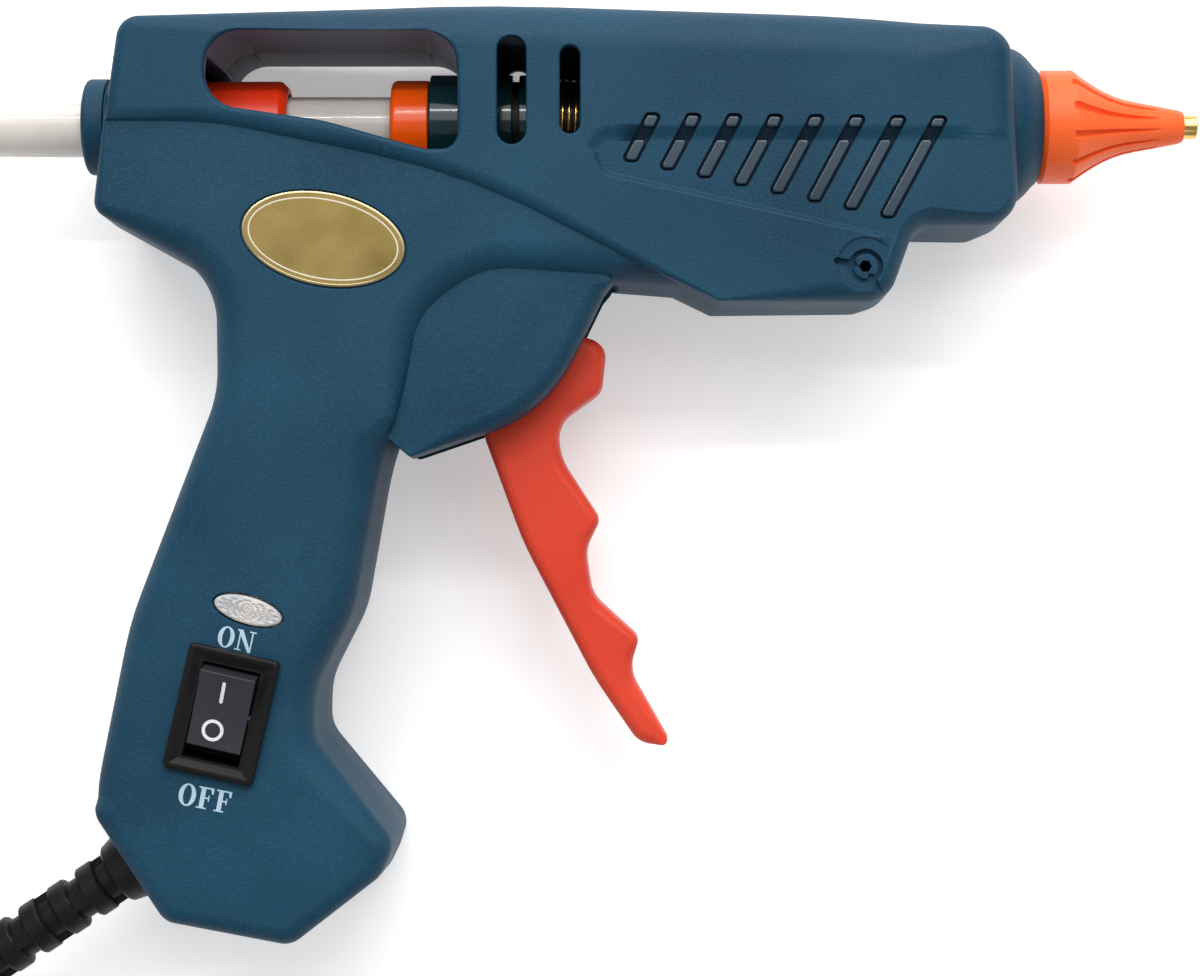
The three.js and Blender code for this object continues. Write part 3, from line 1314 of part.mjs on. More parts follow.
// Screws: a plain head below, and a shank that points up
const headHeightShare = 0.85;
function screw(x, y, seatZ, radius, headRadius, length) {
  return join(
    rod(x, y, headRadius, seatZ - headHeightShare * headRadius, seatZ, smallSides),
    rod(x, y, radius, seatZ - overrun / 2, seatZ + length, screwSides),
  );
}
const screwSeat = screwHeadDepth - halfThickness;
screwPlaces.forEach(([x, y], i) => {
  piece(`housing_screw_${i + 1}`, screw(x, y, screwSeat - partingGap, screwRadius, screwHeadRadius,
    screwLength), finishes.steel);
});
const clampScrewHead = 2.3;
const clampScrewLength = clampTop + clampPostTop + clampScrewGrip;
clampPosts.forEach(([x, y], i) => {
  piece(`clamp_screw_${i + 1}`, mirrored(screw(x, y, -clampTop - partingGap, clampScrewRadius, clampScrewHead,
    clampScrewLength)), finishes.steel);
});

// The origin is on the bench under the middle of the applicator, and the cord follows it there
const bounds = new THREE.Box3().setFromObject(applicator);
const toOrigin = new THREE.Vector3(
  -(bounds.min.x + bounds.max.x) / 2,
  -(bounds.min.y + bounds.max.y) / 2,
  -bounds.min.z,
);
applicator.position.copy(toOrigin);
lead.position.copy(toOrigin);

// The cord's free length: from the strain relief down to the bench, a tied coil, and a tail to the plug
const benchZ = -halfThickness;
const coilRadius = 33;
const coilPitch = 6.6;
const coilLayerRise = 6.5;
const coilSweep = THREE.MathUtils.degToRad(1900);
const coilStartAngle = THREE.MathUtils.degToRad(280);
const coilX = -88;
const coilY = -140;
const tieThickness = 0.6;
const tieWidth = 6;
const tieLift = 0.06;
const coilZ = benchZ + tieLift + tieThickness + seatGap + cordRadius;
const loopSteps = 24;
const loopSides = 6;
const coilSteps = Math.round(coilSweep / (2 * Math.PI) * loopSteps);
const coilOuter = coilRadius + coilPitch * coilSweep / (8 * Math.PI);
const coilAt = (sweep) => {
  const inward = Math.min(sweep, coilSweep - sweep);
  const radius = coilOuter - coilPitch * inward / (2 * Math.PI);
  const climb = THREE.MathUtils.clamp((sweep - coilSweep / 2) / Math.PI + 0.5, 0, 1);
  const rise = coilLayerRise * climb * climb * (3 - 2 * climb);
  const angle = coilStartAngle - sweep;
  return new THREE.Vector3(coilX + radius * Math.cos(angle), coilY + radius * Math.sin(angle), coilZ + rise);
};
const coilTurns = Array.from({ length: coilSteps + 1 }, (_, i) => coilAt(coilSweep * i / coilSteps));
const headingAt = (angle) => new THREE.Vector3(Math.sin(angle), -Math.cos(angle), 0);
const coilPoints = [
  coilTurns[0].clone().addScaledVector(headingAt(coilStartAngle), -cordDiameter),
  ...coilTurns,
  coilTurns.at(-1).clone().addScaledVector(headingAt(coilStartAngle - coilSweep), cordDiameter),
];
console.log(`coil: least gap ${leastGap(coilPoints, cordRadius, 2 * Math.PI * coilRadius).toFixed(2)} mm`);
piece('cord_coil', wound(coilPoints, cordRadius, loopSides), finishes.cordRubber, lead);

// A plain stretch of cord, by hand-chosen points in millimetres from the stick's axis and parting plane
const stretchStep = 2.5 * cordDiameter;
function stretch(points) {
  const curve = new THREE.CatmullRomCurve3(points.map((point) => new THREE.Vector3(...point)));
  const section = new THREE.Shape(new THREE.EllipseCurve(0, 0, cordRadius, cordRadius).getPoints(cordSides)
    .slice(0, -1));
  const steps = Math.max(points.length - 1, Math.ceil(curve.getLength() / stretchStep));
  return solid(new THREE.ExtrudeGeometry(section, { steps, extrudePath: curve, bevelEnabled: false }));
}
const leadRoute = [
  [-31.3, -161, 0], [-36.2, -164.4, -0.3], [-43.4, -168.9, -2.9], [-50.8, -172.7, -7.9],
  [-58, -175.6, -12.9], [-65, -177.9, -16.2], [-70.2, -179.15, -17.04], [-74.55, -179.98, -17.04],
];
const tailRoute = [
  [-129.7, -133.7, -10.54], [-129.6, -127.5, -10.7], [-129.2, -119, -12.2], [-128.2, -110, -14.9],
  [-126.8, -101, -17.1], [-125.6, -92, -17.8], [-124.8, -83.5, -17.1], [-124.5, -76, -15.3],
  [-124.4, -70, -14.2], [-124.4, -64.5, -14.1],
];
piece('cord_lead', stretch(leadRoute), finishes.cordRubber, lead);
piece('cord_tail', stretch(tailRoute), finishes.cordRubber, lead);

// Tie: a thin band round all the turns, on the side away from where the cord comes and goes
const tieAngle = THREE.MathUtils.degToRad(230);
const tieSweep = coilStartAngle - tieAngle;
const tieTurns = Math.floor((coilSweep / 2 - tieSweep) / (2 * Math.PI));
const tieOuter = coilAt(tieSweep).distanceTo(new THREE.Vector3(coilX, coilY, coilZ)) + cordRadius;
const tieInner = tieOuter - coilPitch * tieTurns - cordDiameter;
const band = (grow, halfWidth) => {
  const low = coilZ - cordRadius - grow;
  const high = coilZ + coilLayerRise + cordRadius + grow;
  const geometry = new THREE.BoxGeometry(tieOuter - tieInner + 2 * grow, 2 * halfWidth, high - low);
  geometry.translate((tieOuter + tieInner) / 2, 0, (low + high) / 2);
  geometry.rotateZ(tieAngle);
  geometry.translate(coilX, coilY, 0);
  return solid(geometry);
};
piece('cord_tie', cut(band(seatGap + tieThickness, tieWidth / 2), band(seatGap, tieWidth)),
  finishes.cordRubber, lead);

// Plug: a flat two-pin body that tapers to the cord
const plugThickness = 13.6;
const plugLength = 36;
const plugHalfWidth = 12.7;
const plugRearHalfWidth = 6.4;
const plugShoulderShare = 0.45;
const plugRound = 3;
const plugSeam = 0.3;
const [plugX, plugEndY, plugZ] = tailRoute.at(-1);
const plugRear = plugEndY + seatGap;
const plugFront = plugRear + plugLength;
const plugOutline = cornered([
  [plugX - plugRearHalfWidth, plugRear, plugRound, plugRound],
  [plugX + plugRearHalfWidth, plugRear, plugRound, plugRound],
  [plugX + plugHalfWidth, plugRear + plugShoulderShare * plugLength, broad, plugRound],
  [plugX + plugHalfWidth, plugFront, crisp, plugSeam],
  [plugX - plugHalfWidth, plugFront, crisp, plugSeam],
  [plugX - plugHalfWidth, plugRear + plugShoulderShare * plugLength, broad, plugRound],
]);
const plugGeometry = geometryOf(both(moulding(plugOutline, () => plugThickness / 2, 0, 2)));
plugGeometry.translate(0, 0, plugZ);
piece('plug_body', plugGeometry, finishes.cordRubber, lead);
const plugPinLength = 19;
const plugPinRadius = 2;
const plugPinSpacing = 18.6;
[-1, 1].forEach((side, i) => {
  const geometry = new THREE.CylinderGeometry(plugPinRadius, plugPinRadius, plugPinLength, pinSides);
  geometry.translate(plugX + side * plugPinSpacing / 2, plugFront + partingGap + plugPinLength / 2, plugZ);
  piece(`plug_pin_${i + 1}`, solid(geometry), finishes.steel, lead);
});

export default part;
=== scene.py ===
import math
from contextlib import contextmanager

import bmesh
import bpy
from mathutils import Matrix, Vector


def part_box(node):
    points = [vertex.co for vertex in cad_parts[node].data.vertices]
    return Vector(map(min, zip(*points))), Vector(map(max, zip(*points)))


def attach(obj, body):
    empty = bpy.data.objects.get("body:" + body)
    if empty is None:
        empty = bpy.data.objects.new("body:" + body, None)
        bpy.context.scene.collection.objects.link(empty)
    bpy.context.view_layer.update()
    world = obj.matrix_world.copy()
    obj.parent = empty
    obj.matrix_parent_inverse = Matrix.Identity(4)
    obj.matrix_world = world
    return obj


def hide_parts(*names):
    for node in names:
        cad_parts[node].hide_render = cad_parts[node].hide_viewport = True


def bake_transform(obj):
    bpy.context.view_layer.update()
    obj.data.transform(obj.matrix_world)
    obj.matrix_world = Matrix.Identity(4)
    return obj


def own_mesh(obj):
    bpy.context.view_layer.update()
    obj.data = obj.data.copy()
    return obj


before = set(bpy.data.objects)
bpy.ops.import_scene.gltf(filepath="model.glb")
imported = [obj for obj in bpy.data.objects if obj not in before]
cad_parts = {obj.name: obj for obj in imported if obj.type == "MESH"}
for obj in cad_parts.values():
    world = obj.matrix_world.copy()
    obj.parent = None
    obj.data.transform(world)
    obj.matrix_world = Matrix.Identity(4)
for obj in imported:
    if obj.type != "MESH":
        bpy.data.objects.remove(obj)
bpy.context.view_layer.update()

# Where the tool lies. Its drawing is in millimetres from the point where the glue stick's axis
# leaves the barrel's rear face, with z from the parting plane; `at` turns that into metres.
MM = 0.001
stick_low, stick_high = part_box("glue_stick")
stick_standout = 29
stick_axis = (stick_low + stick_high) / 2 / MM
rear_face = Vector((stick_low.x / MM + stick_standout, stick_axis.y, stick_axis.z))


def at(x, y, z=0):
    return (rear_face + Vector((x, y, z))) * MM


def put(name, data):
    piece = bpy.data.objects.new(name, data)
    bpy.context.scene.collection.objects.link(piece)
    return piece


# Camera: straight above the tool, as far away as the photograph's perspective asks for.
camera_data = bpy.data.cameras.new("camera")
camera_data.sensor_width = 36
camera_data.lens = 77.2
camera = put("camera", camera_data)
camera_height = 480
camera.location = at(91.3, -67.26, camera_height)
bpy.context.scene.camera = camera

# Mains cord: round two-core flex, black rubber over the cores. It leaves the strain relief in the
# air, comes down to the table, lies in a flat coil of two layers and rises into the back of the plug.
cord_diameter = 6
lead_route = [
    (-31.3, -161, 0), (-36.2, -164.4, -0.3), (-43.4, -168.9, -2.9), (-50.8, -172.7, -7.9),
    (-58, -175.6, -12.9), (-65, -177.9, -16.2), (-70.2, -179.15, -17.04), (-74.55, -179.98, -17.04)]
tail_route = [
    (-129.6, -127.5, -10.7), (-129.2, -119, -12.2), (-128.2, -110, -14.9), (-126.8, -101, -17.1),
    (-125.6, -92, -17.8), (-124.8, -83.5, -17.1), (-124.5, -76, -15.3), (-124.4, -70, -14.2),
    (-124.4, -64.5, -14.1)]
route_steps = 6
coil_centre = Vector((-88, -140, -17.04))
coil_radius, coil_pitch, coil_layer_rise = 33, 6.6, 6.5
coil_start = math.radians(280)
coil_sweep = math.radians(5 * 360 + 100)
coil_outer = coil_radius + coil_pitch * coil_sweep / (4 * math.tau)
steps_per_turn = 72


def coil_point(sweep):
    inward = min(sweep, coil_sweep - sweep)
    radius = coil_outer - coil_pitch * inward / math.tau
    climb = min(max((sweep - coil_sweep / 2) / math.pi + 0.5, 0), 1)
    rise = coil_layer_rise * climb * climb * (3 - 2 * climb)
    angle = coil_start - sweep
    return coil_centre + Vector((radius * math.cos(angle), radius * math.sin(angle), rise))


def smooth_route(points):
    """Points of one smooth curve through the given points."""
    points = [Vector(p) for p in points]
    ends = [2 * points[0] - points[1], *points, 2 * points[-1] - points[-2]]
    route = []
    for a, b, c, d in zip(ends, ends[1:], ends[2:], ends[3:]):
        for t in [k / route_steps for k in range(route_steps)]:
            route.append(0.5 * (2 * b + (c - a) * t + (2 * a - 5 * b + 4 * c - d) * t ** 2
                                + (3 * b - a - 3 * c + d) * t ** 3))
    return [*route, points[-1]]


def wire(name, points, radius):
    """A round wire or cord along points, as a curve with closed ends."""
    curve = bpy.data.curves.new(name, "CURVE")
    curve.dimensions = "3D"
    curve.bevel_depth = 1
    curve.bevel_resolution = 5
    curve.use_fill_caps = True
    spline = curve.splines.new("POLY")
    spline.points.add(len(points) - 1)
    for point, place in zip(spline.points, points):
        point.co = (*at(*place), 1)
        point.radius = radius * MM
    spline.use_smooth = True
    return put(name, curve)


def fit(piece, body, slot, *nodes):
    """Fixes the piece to its body and hides the frame's nodes that it stands for. Its slot is not used."""
    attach(piece, body)
    if nodes:
        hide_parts(*nodes)
    return piece


coil_steps = round(coil_sweep / math.tau * steps_per_turn)
coil_route = [coil_point(coil_sweep * k / coil_steps) for k in range(coil_steps + 1)]
cord_route = smooth_route([*lead_route, coil_route[0]])[:-1] + coil_route
cord_route += smooth_route([coil_route[-1], *tail_route])[1:]
cord = wire("mains_cord", cord_route, cord_diameter / 2)
fit(cord, "root", "cord_rubber", "cord_lead", "cord_coil", "cord_tail")

# Table and studio: a pale translucent table top lit from below, a wide soft light above and behind the
# barrel, a long narrow one that draws a line on the round glossy pieces, and weak ones at the sides. The
# room lights the tool dimly, but is pale where the camera sees it.
table_corners = [(-3, -3, 0), (3, -3, 0), (3, 3, 0), (-3, 3, 0)]
table = put("table", bpy.data.meshes.new("table"))
table.data.from_pydata(table_corners, [], [(0, 1, 2, 3)])
for name, place, length, width, power in [
        ("overhead_light", (0, 0.71, 1.2), 1.4, 1.0, 8.5),
        ("barrel_light", (0.05, 0.95, 0.5), 0.9, 0.6, 7),
        ("handle_light", (-0.75, -0.35, 0.5), 0.6, 0.6, 1.2),
        ("front_light", (0.7, -0.5, 0.6), 0.6, 0.6, 1.2),
        ("strip_light", (0, 0.71, 1.1), 1.3, 0.035, 5)]:
    lamp = bpy.data.lights.new(name, "AREA")
    lamp.shape = "RECTANGLE"
    lamp.size = length
    lamp.size_y = width
    lamp.energy = power
    light = put(name, lamp)
    light.location = place
    light.rotation_euler = (-Vector(place)).to_track_quat("-Z", "Y").to_euler()


def node(tree, kind, links=None, **settings):
    """A new node with its settings. An input is set, or linked to a socket or to a node's first output."""
    made = tree.nodes.new(kind)
    for key, value in settings.items():
        setattr(made, key, value)
    for socket, source in (links or {}).items():
        source = source.outputs[0] if hasattr(source, "outputs") else source
        if hasattr(source, "links"):
            tree.links.new(source, made.inputs[socket])
        else:
            made.inputs[socket].default_value = source
    return made


room_light, room_seen = 0.32, 0.85
world = bpy.data.worlds.new("studio")
world.use_nodes = True
room = world.node_tree.nodes["Background"].inputs
room["Color"].default_value = (1, 1, 1, 1)
seen = node(world.node_tree, "ShaderNodeLightPath").outputs["Is Camera Ray"]
strength = node(world.node_tree, "ShaderNodeMath", {0: seen, 1: room_seen - room_light, 2: room_light},
                operation="MULTIPLY_ADD")
world.node_tree.links.new(strength.outputs[0], room["Strength"])
bpy.context.scene.world = world
bpy.context.scene.view_settings.view_transform = "Standard"


# Finishes. A moulded or cast surface is told by its fine grain and a slow drift of tone, and worked metal
# by lines along one direction, so these are shared node groups. The grain also lightens the colour in fine
# specks, which are painted glints.
def node_group(name, inputs, outputs):
    group = bpy.data.node_groups.new(name, "ShaderNodeTree")
    for label, value in inputs.items():
        socket = group.interface.new_socket(label, in_out="INPUT", socket_type="NodeSocketFloat")
        socket.default_value = value
    for label in outputs:
        group.interface.new_socket(label, in_out="OUTPUT", socket_type="NodeSocketFloat")
    return group, group.nodes.new("NodeGroupInput").outputs, group.nodes.new("NodeGroupOutput").inputs


def noise(tree, place, size, detail):
    """Noise with spots as wide as size says."""
    scale = node(tree, "ShaderNodeMath", {0: 1.0, 1: size}, operation="DIVIDE")
    return node(tree, "ShaderNodeTexNoise", {"Vector": place, "Scale": scale, "Detail": detail})


grain_group, entry, leave = node_group(
    "moulded_grain", {"Grain Size": 0.0004, "Drift Size": 0.03}, ["Height", "Glint Speck", "Drift"])
place = node(grain_group, "ShaderNodeTexCoord").outputs["Object"]
pits = noise(grain_group, place, entry["Grain Size"], 2.0)
drift = noise(grain_group, place, entry["Drift Size"], 4.0)
# Lighter specks where the fine noise peaks: painted glints on the grain.
glint_speck = node(grain_group, "ShaderNodeMapRange", {"Value": pits, "From Min": 0.52, "From Max": 0.72})
for made, label in [(pits, "Height"), (glint_speck, "Glint Speck"), (drift, "Drift")]:
    grain_group.links.new(made.outputs[0], leave[label])

lines_group, entry, leave = node_group("worked_lines", {"Line Width": 0.0002}, ["Lines"])
place = node(lines_group, "ShaderNodeTexCoord").outputs["Object"]
stretched = node(lines_group, "ShaderNodeMapping", {"Vector": place, "Scale": (1.0, 0.04, 0.04)})
lines = noise(lines_group, stretched, entry["Line Width"], 3.0)
lines_group.links.new(lines.outputs[0], leave["Lines"])


def finish(name, dark, light, roughness, grain, relief, drift=0.03, glint_speck=0.35, lines=None, **sockets):
    """A surface whose colour runs from dark to light with its drift of tone, and lighter in specks on its
    grain that are painted glints. roughness is (least, most), grain the size of its texture and relief its
    depth, both in mm."""
    material = bpy.data.materials.new(name)
    material.use_nodes = True
    tree = material.node_tree
    shader = tree.nodes["Principled BSDF"].inputs
    for label, value in sockets.items():
        shader[label.replace("_", " ")].default_value = value
    texture = node(tree, "ShaderNodeGroup", node_tree=grain_group)
    texture.inputs["Grain Size"].default_value = grain * MM
    texture.inputs["Drift Size"].default_value = drift
    tone, shine = [node(tree, "ShaderNodeMapRange", {
        "Value": texture.outputs["Drift"], "From Min": 0.3, "From Max": 0.7, "To Min": low, "To Max": high})
        for low, high in [(0.0, 1 - glint_speck), roughness]]
    # The specks lighten the colour: painted glints.
    glint_mask = node(tree, "ShaderNodeMath", {0: texture.outputs["Glint Speck"], 1: glint_speck}, operation="MULTIPLY")
    blend = node(tree, "ShaderNodeMath", {0: glint_mask, 1: tone}, operation="ADD")
    colour = node(tree, "ShaderNodeMix", {0: blend}, data_type="RGBA")
    for socket in colour.inputs:
        if socket.type == "RGBA":
            socket.default_value = (*(dark if socket.name == "A" else light), 1)
    height = texture.outputs["Height"]
    if lines:
        marks = node(tree, "ShaderNodeGroup", node_tree=lines_group)
        marks.inputs["Line Width"].default_value = lines * MM
        height = marks.outputs["Lines"]
    bump = node(tree, "ShaderNodeBump", {"Height": height, "Distance": relief * MM, "Strength": 1.0})
    tree.links.new(next(s for s in colour.outputs if s.type == "RGBA"), shader["Base Color"])
    tree.links.new(shine.outputs[0], shader["Roughness"])
    tree.links.new(bump.outputs[0], shader["Normal"])
    return material


def dress(piece, *materials):
    piece.data.materials.clear()
    for material in materials:
        piece.data.materials.append(material)
    return piece


dress(table, finish("table_acrylic", (0.91, 0.91, 0.915), (0.94, 0.94, 0.94), (0.7, 0.8), 0.8, 0.002,
                    drift=0.4, Emission_Color=(1, 1, 1, 1), Emission_Strength=0.36))
rubber = finish("rubber", (0.004, 0.004, 0.004), (0.012, 0.011, 0.0105), (0.38, 0.52), 0.25, 0.012,
                Specular_IOR_Level=0.2)
dress(cord, rubber)

# Housing: two mouldings of glass-filled nylon, spark-eroded to a fine grain, screwed together along
# the stick's axis. Each half's outside is a barrel with its belly, a handle and a thin trigger cover,
# with drafted walls and rounded edges; the ribs, bosses and seats inside come from the frame.
barrel_length, half_height, half_thickness = 167, 20.5, 21
belly_depth, handle_reach, handle_length = 13.9, 55, 129.5
parting_gap, draft = 0.1, 0.026
past, clear, far = 1, 6, 100
edge_round, top_edge_round, rear_edge_round, crease_round = 6, 8, 2.5, 3
crease_step, leaf_step = 1.6, 4
flare_drop = 0.975 * (handle_length + half_height)


def on_barrel(along, up, *rest):
    return (along * barrel_length, up * half_height, *rest)


def on_belly(along, down, *rest):
    return (along * barrel_length, -half_height - down * belly_depth, *rest)


def on_handle(along, down, *rest):
    return (along * handle_reach, -half_height - down * handle_length, *rest)


def spun(x, y, u, v, angle):
    """Where (u, v), turned by angle, lies from (x, y)."""
    return x + u * math.cos(angle) - v * math.sin(angle), y + u * math.sin(angle) + v * math.cos(angle)


def outline(corners, sharp_below=0.0):
    """A closed outline of (x, y, edge rounding) from corners (x, y, corner radius, edge rounding). Convex
    corners with a smaller radius than sharp_below stay sharp."""
    arc_step = math.radians(5)
    corners = [(*corner, 0, 0)[:4] for corner in corners]
    if sum(a[0] * b[1] - b[0] * a[1] for a, b in zip(corners, corners[1:] + corners[:1])) < 0:
        corners = corners[::-1]
    points = []
    for i, (x, y, radius, rounding) in enumerate(corners):
        here = Vector((x, y))
        back = Vector(corners[i - 1][:2]) - here
        ahead = Vector(corners[(i + 1) % len(corners)][:2]) - here
        turn = math.pi - back.angle(ahead)
        convex = ahead.x * back.y - ahead.y * back.x > 0
        reach = min(radius * math.tan(turn / 2), 0.49 * back.length, 0.49 * ahead.length)
        bend = reach / math.tan(turn / 2) if reach > 0 else 0
        if bend <= 0 or convex and bend < sharp_below:
            points.append((x, y, rounding))
            continue
        centre = here + (back.normalized() + ahead.normalized()).normalized() * (bend / math.cos(turn / 2))
        start = here + back.normalized() * reach - centre
        if convex:
            rounding = max(min(rounding, 0.8 * bend - draft * half_thickness), 0)
        steps = max(3, math.ceil(turn / arc_step))
        for k in range(steps + 1):
            angle = (1 if convex else -1) * turn * k / steps
            points.append((*spun(*centre, *start, angle), rounding))
    return [p for p, q in zip(points, points[1:] + points[:1]) if math.dist(p[:2], q[:2]) > 0.001]


def inset(points, distances):
    """The outline moved inwards, by one distance or by a distance for each point."""
    moved = []
    for i, (x, y, rounding) in enumerate(points):
        here = Vector((x, y))
        back = (here - Vector(points[i - 1][:2])).normalized()
        ahead = (Vector(points[(i + 1) % len(points)][:2]) - here).normalized()
        side_back, side_ahead = Vector((-back.y, back.x)), Vector((-ahead.y, ahead.x))
        mitre = (side_back + side_ahead) / (1 + side_back.dot(side_ahead))
        here += mitre * (distances[i] if hasattr(distances, "__len__") else distances)
        moved.append((here.x, here.y, rounding))
    return moved


@contextmanager
def mesh_of(piece):
    """The piece's mesh, open for editing."""
    work = bmesh.new()
    work.from_mesh(piece.data)
    yield work
    work.to_mesh(piece.data)
    work.free()


seam = 0.0005 * MM
caps = 2


def loft(name, rings, capped=True):
    """A solid through rings of points in millimetres, each with as many points as the last. Its caps are
    its first two faces."""
    count = len(rings[0])
    last = (len(rings) - 1) * count
    faces = [tuple(range(count)), tuple(range(last, last + count))] if capped else []
    for k in range(len(rings) - 1):
        for i in range(count):
            a, b = k * count + i, k * count + (i + 1) % count
            faces.append((a, b, b + count, a + count))
    piece = put(name, bpy.data.meshes.new(name))
    piece.data.from_pydata([at(*point) for ring in rings for point in ring], [], faces)
    with mesh_of(piece) as work:
        bmesh.ops.remove_doubles(work, verts=work.verts, dist=seam)
        bmesh.ops.recalc_face_normals(work, faces=work.faces)
    return piece


def level(points, z):
    return [(x, y, z) for x, y, _ in points]


def prism(name, points, low, high):
    return loft(name, [level(points, low), level(points, high)])


def quarter(steps):
    """The steps of a rounded edge, as the shares of its radius gone inwards and still to rise."""
    turns = [k / steps * math.pi / 2 for k in range(steps + 1)]
    return [(1 - math.cos(turn), 1 - math.sin(turn)) for turn in turns]


def moulding(name, points, top_at, start):
    """Half a moulding: drafted walls from the parting plane up, a rounded edge and its top."""
    rings = [level(points, start)]
    for gone, left in quarter(8):
        moved = inset(points, [draft * top_at(y) + r * gone for _, y, r in points])
        rings.append([(x, y, top_at(y) - r * left) for x, y, r in moved])
    return loft(name, rings)


def turned(name, profile, sides=72):
    """A solid turned about the stick's axis from (x, radius) points; a ring when the profile is closed."""
    rings = [[(x, *spun(0, 0, r, 0, math.tau * k / sides)) for k in range(sides)] for x, r in profile]
    return loft(name, rings, profile[0] != profile[-1])


def drum(name, low, high, radius, sides=72):
    return turned(name, [(low, 0), (low, radius), (high, radius), (high, 0)], sides)


def oval(x, y, length, width, angle=0.0, sides=64):
    return [(*spun(x, y, length / 2 * math.cos(turn), width / 2 * math.sin(turn), angle), 0)
            for turn in [math.tau * k / sides for k in range(sides)]]


def rod(name, x, y, radius, low, high, sides=48):
    return prism(name, oval(x, y, 2 * radius, 2 * radius, 0, sides), low, high)


def block(name, x0, x1, y0, y1, z0, z1):
    return prism(name, [(x0, y0, 0), (x1, y0, 0), (x1, y1, 0), (x0, y1, 0)], z0, z1)


def baked(piece):
    """The piece's shape with its modifiers, as a new mesh."""
    return bpy.data.meshes.new_from_object(piece.evaluated_get(bpy.context.evaluated_depsgraph_get()))


def settle(piece):
    mesh = baked(piece)
    piece.modifiers.clear()
    piece.data = mesh
    return piece


def shaped(piece, operation, tool, keep=False):
    step = piece.modifiers.new("shape", "BOOLEAN")
    step.operation = operation
    step.solver = "MANIFOLD"
    step.material_mode = "TRANSFER"
    step.object = tool
    settle(piece)
    if not keep:
        bpy.data.objects.remove(tool)
    return piece


def joined(piece, *others):
    for other in others:
        shaped(piece, "UNION", other)
    return piece


def cut(piece, *tools):
    for tool in tools:
        shaped(piece, "DIFFERENCE", tool)
    return piece


def copy_of(name, source):
    """A piece of its own with the same mesh as a frame node or another piece, closed at its seams."""
    piece = put(name, source.data.copy())
    piece.data.materials.clear()
    with mesh_of(piece) as work:
        bmesh.ops.remove_doubles(work, verts=work.verts, dist=seam)
    return piece


def mirror(piece):
    """The same piece on the other side of the parting plane."""
    for vertex in piece.data.vertices:
        vertex.co.z = 2 * rear_face.z * MM - vertex.co.z
    piece.data.flip_normals()
    return piece


def softened(piece, width=0.0, segments=2, angle=32):
    """Breaks a piece's sharp edges by width in mm, and shades it smooth between its creases."""
    with mesh_of(piece) as work:
        bmesh.ops.remove_doubles(work, verts=work.verts, dist=4 * seam)
        bmesh.ops.dissolve_degenerate(work, edges=work.edges, dist=2 * seam)
    if width:
        edge = piece.modifiers.new("edge", "BEVEL")
        edge.width = width * MM
        edge.segments = segments
        edge.limit_method = "ANGLE"
        edge.angle_limit = math.radians(35)
        settle(piece)
    piece.data.shade_smooth()
    piece.data.set_sharp_from_angle(angle=math.radians(angle))
    piece.modifiers.new("shade", "WEIGHTED_NORMAL").keep_sharp = True
    return settle(piece)


barrel_corners = [
    on_barrel(0.0105, -0.107, 0, rear_edge_round), on_barrel(0.132, -0.127, 60, crease_round),
    on_barrel(0.383, -0.546, 120, crease_round), on_belly(0.674, 1, 1.2, crease_round),
    on_belly(0.8587, 1, 6.5, edge_round), on_barrel(0.89, -1, 3.5, edge_round),
    on_barrel(1.002, -1, 6.5, edge_round), on_barrel(0.993, 0.776, 6.5, edge_round),
    on_barrel(0.8186, 0.912, 400, top_edge_round), on_barrel(0.405, 1.02, 400, top_edge_round),
    on_barrel(0.0275, 0.868, 4.7, rear_edge_round)]
handle_corners = [
    on_barrel(-0.0024, -0.859, 3.5, rear_edge_round),
    *[on_handle(*corner, edge_round) for corner in [
        (0.387, 0.0703, 13), (0.393, 0.228, 22), (0.109, 0.544, 60), (0.004, 0.768, 60), (0, 0.817, 5),
        (0.233, 0.966, 5), (0.6545, 1, 5), (0.949, 0.903, 5), (1.0055, 0.853, 5), (0.733, 0.708, 6.5),
        (0.738, 0.641, 13), (0.862, 0.5367, 22), (0.945, 0.336, 60), (1, 0.266, 3.5)]],
    *[on_belly(*corner, edge_round) for corner in [
        (0.3623, 1.115, 13), (0.425, 0.61, 13), (0.56, 0.712, 0), (0.6527, 0.8, 3.5)]],
    on_belly(0.69, 0.9), on_belly(0.7, 0.4), on_barrel(0.36, 0.2), on_barrel(0.0145, 0.17)]
leaf_corners = [
    on_handle(1.036, 0.322, 1.2, crease_round), on_handle(0.8, 0.24), on_belly(0.323, 0.4),
    on_belly(0.479, 0.1), *[on_belly(*corner, crease_round) for corner in [
        (0.566, 0.64, 1.2), (0.552, 0.86, 1.2), (0.49, 2.4, 60)]]]


def handle_top(y):
    return half_thickness - crease_step * (1 + y / flare_drop)


tops = [("barrel", barrel_corners, lambda y: half_thickness), ("handle", handle_corners, handle_top),
        ("leaf", leaf_corners, lambda y: half_thickness - leaf_step)]
nose_start, nose_end, nose_bore = 166.5, 172.4, 8.9
nose_cone = turned("nose", [
    (nose_start - 5, 0), (nose_start - 5, 14.6), (nose_start, 14.6), (nose_start + 1.4, 14.4),
    (nose_start + 2.6, 13.75), (nose_start + 3.6, 12.9), (nose_start + 4.5, 11.9), (nose_start + 5.2, 11.1),
    (nose_end - 0.2, 10.7), (nose_end, 10.3), (nose_end, 0)], 96)
shaped(nose_cone, "INTERSECT", block("above", 0, 3 * far, -far, far, parting_gap / 2, far))
outside = joined(*[moulding(name, outline(corners), top, parting_gap / 2) for name, corners, top in tops],
                 nose_cone)


def inner(depth):
    """The same half mouldings, smaller by depth all round."""
    made = []
    for name, corners, top_at in tops:
        points = [(x, y, max(r - depth, 0.2)) for x, y, r in inset(outline(corners, 2.5), depth)]
        made.append(moulding(name, points, lambda y: top_at(y) - depth, -past))
    return joined(*made)


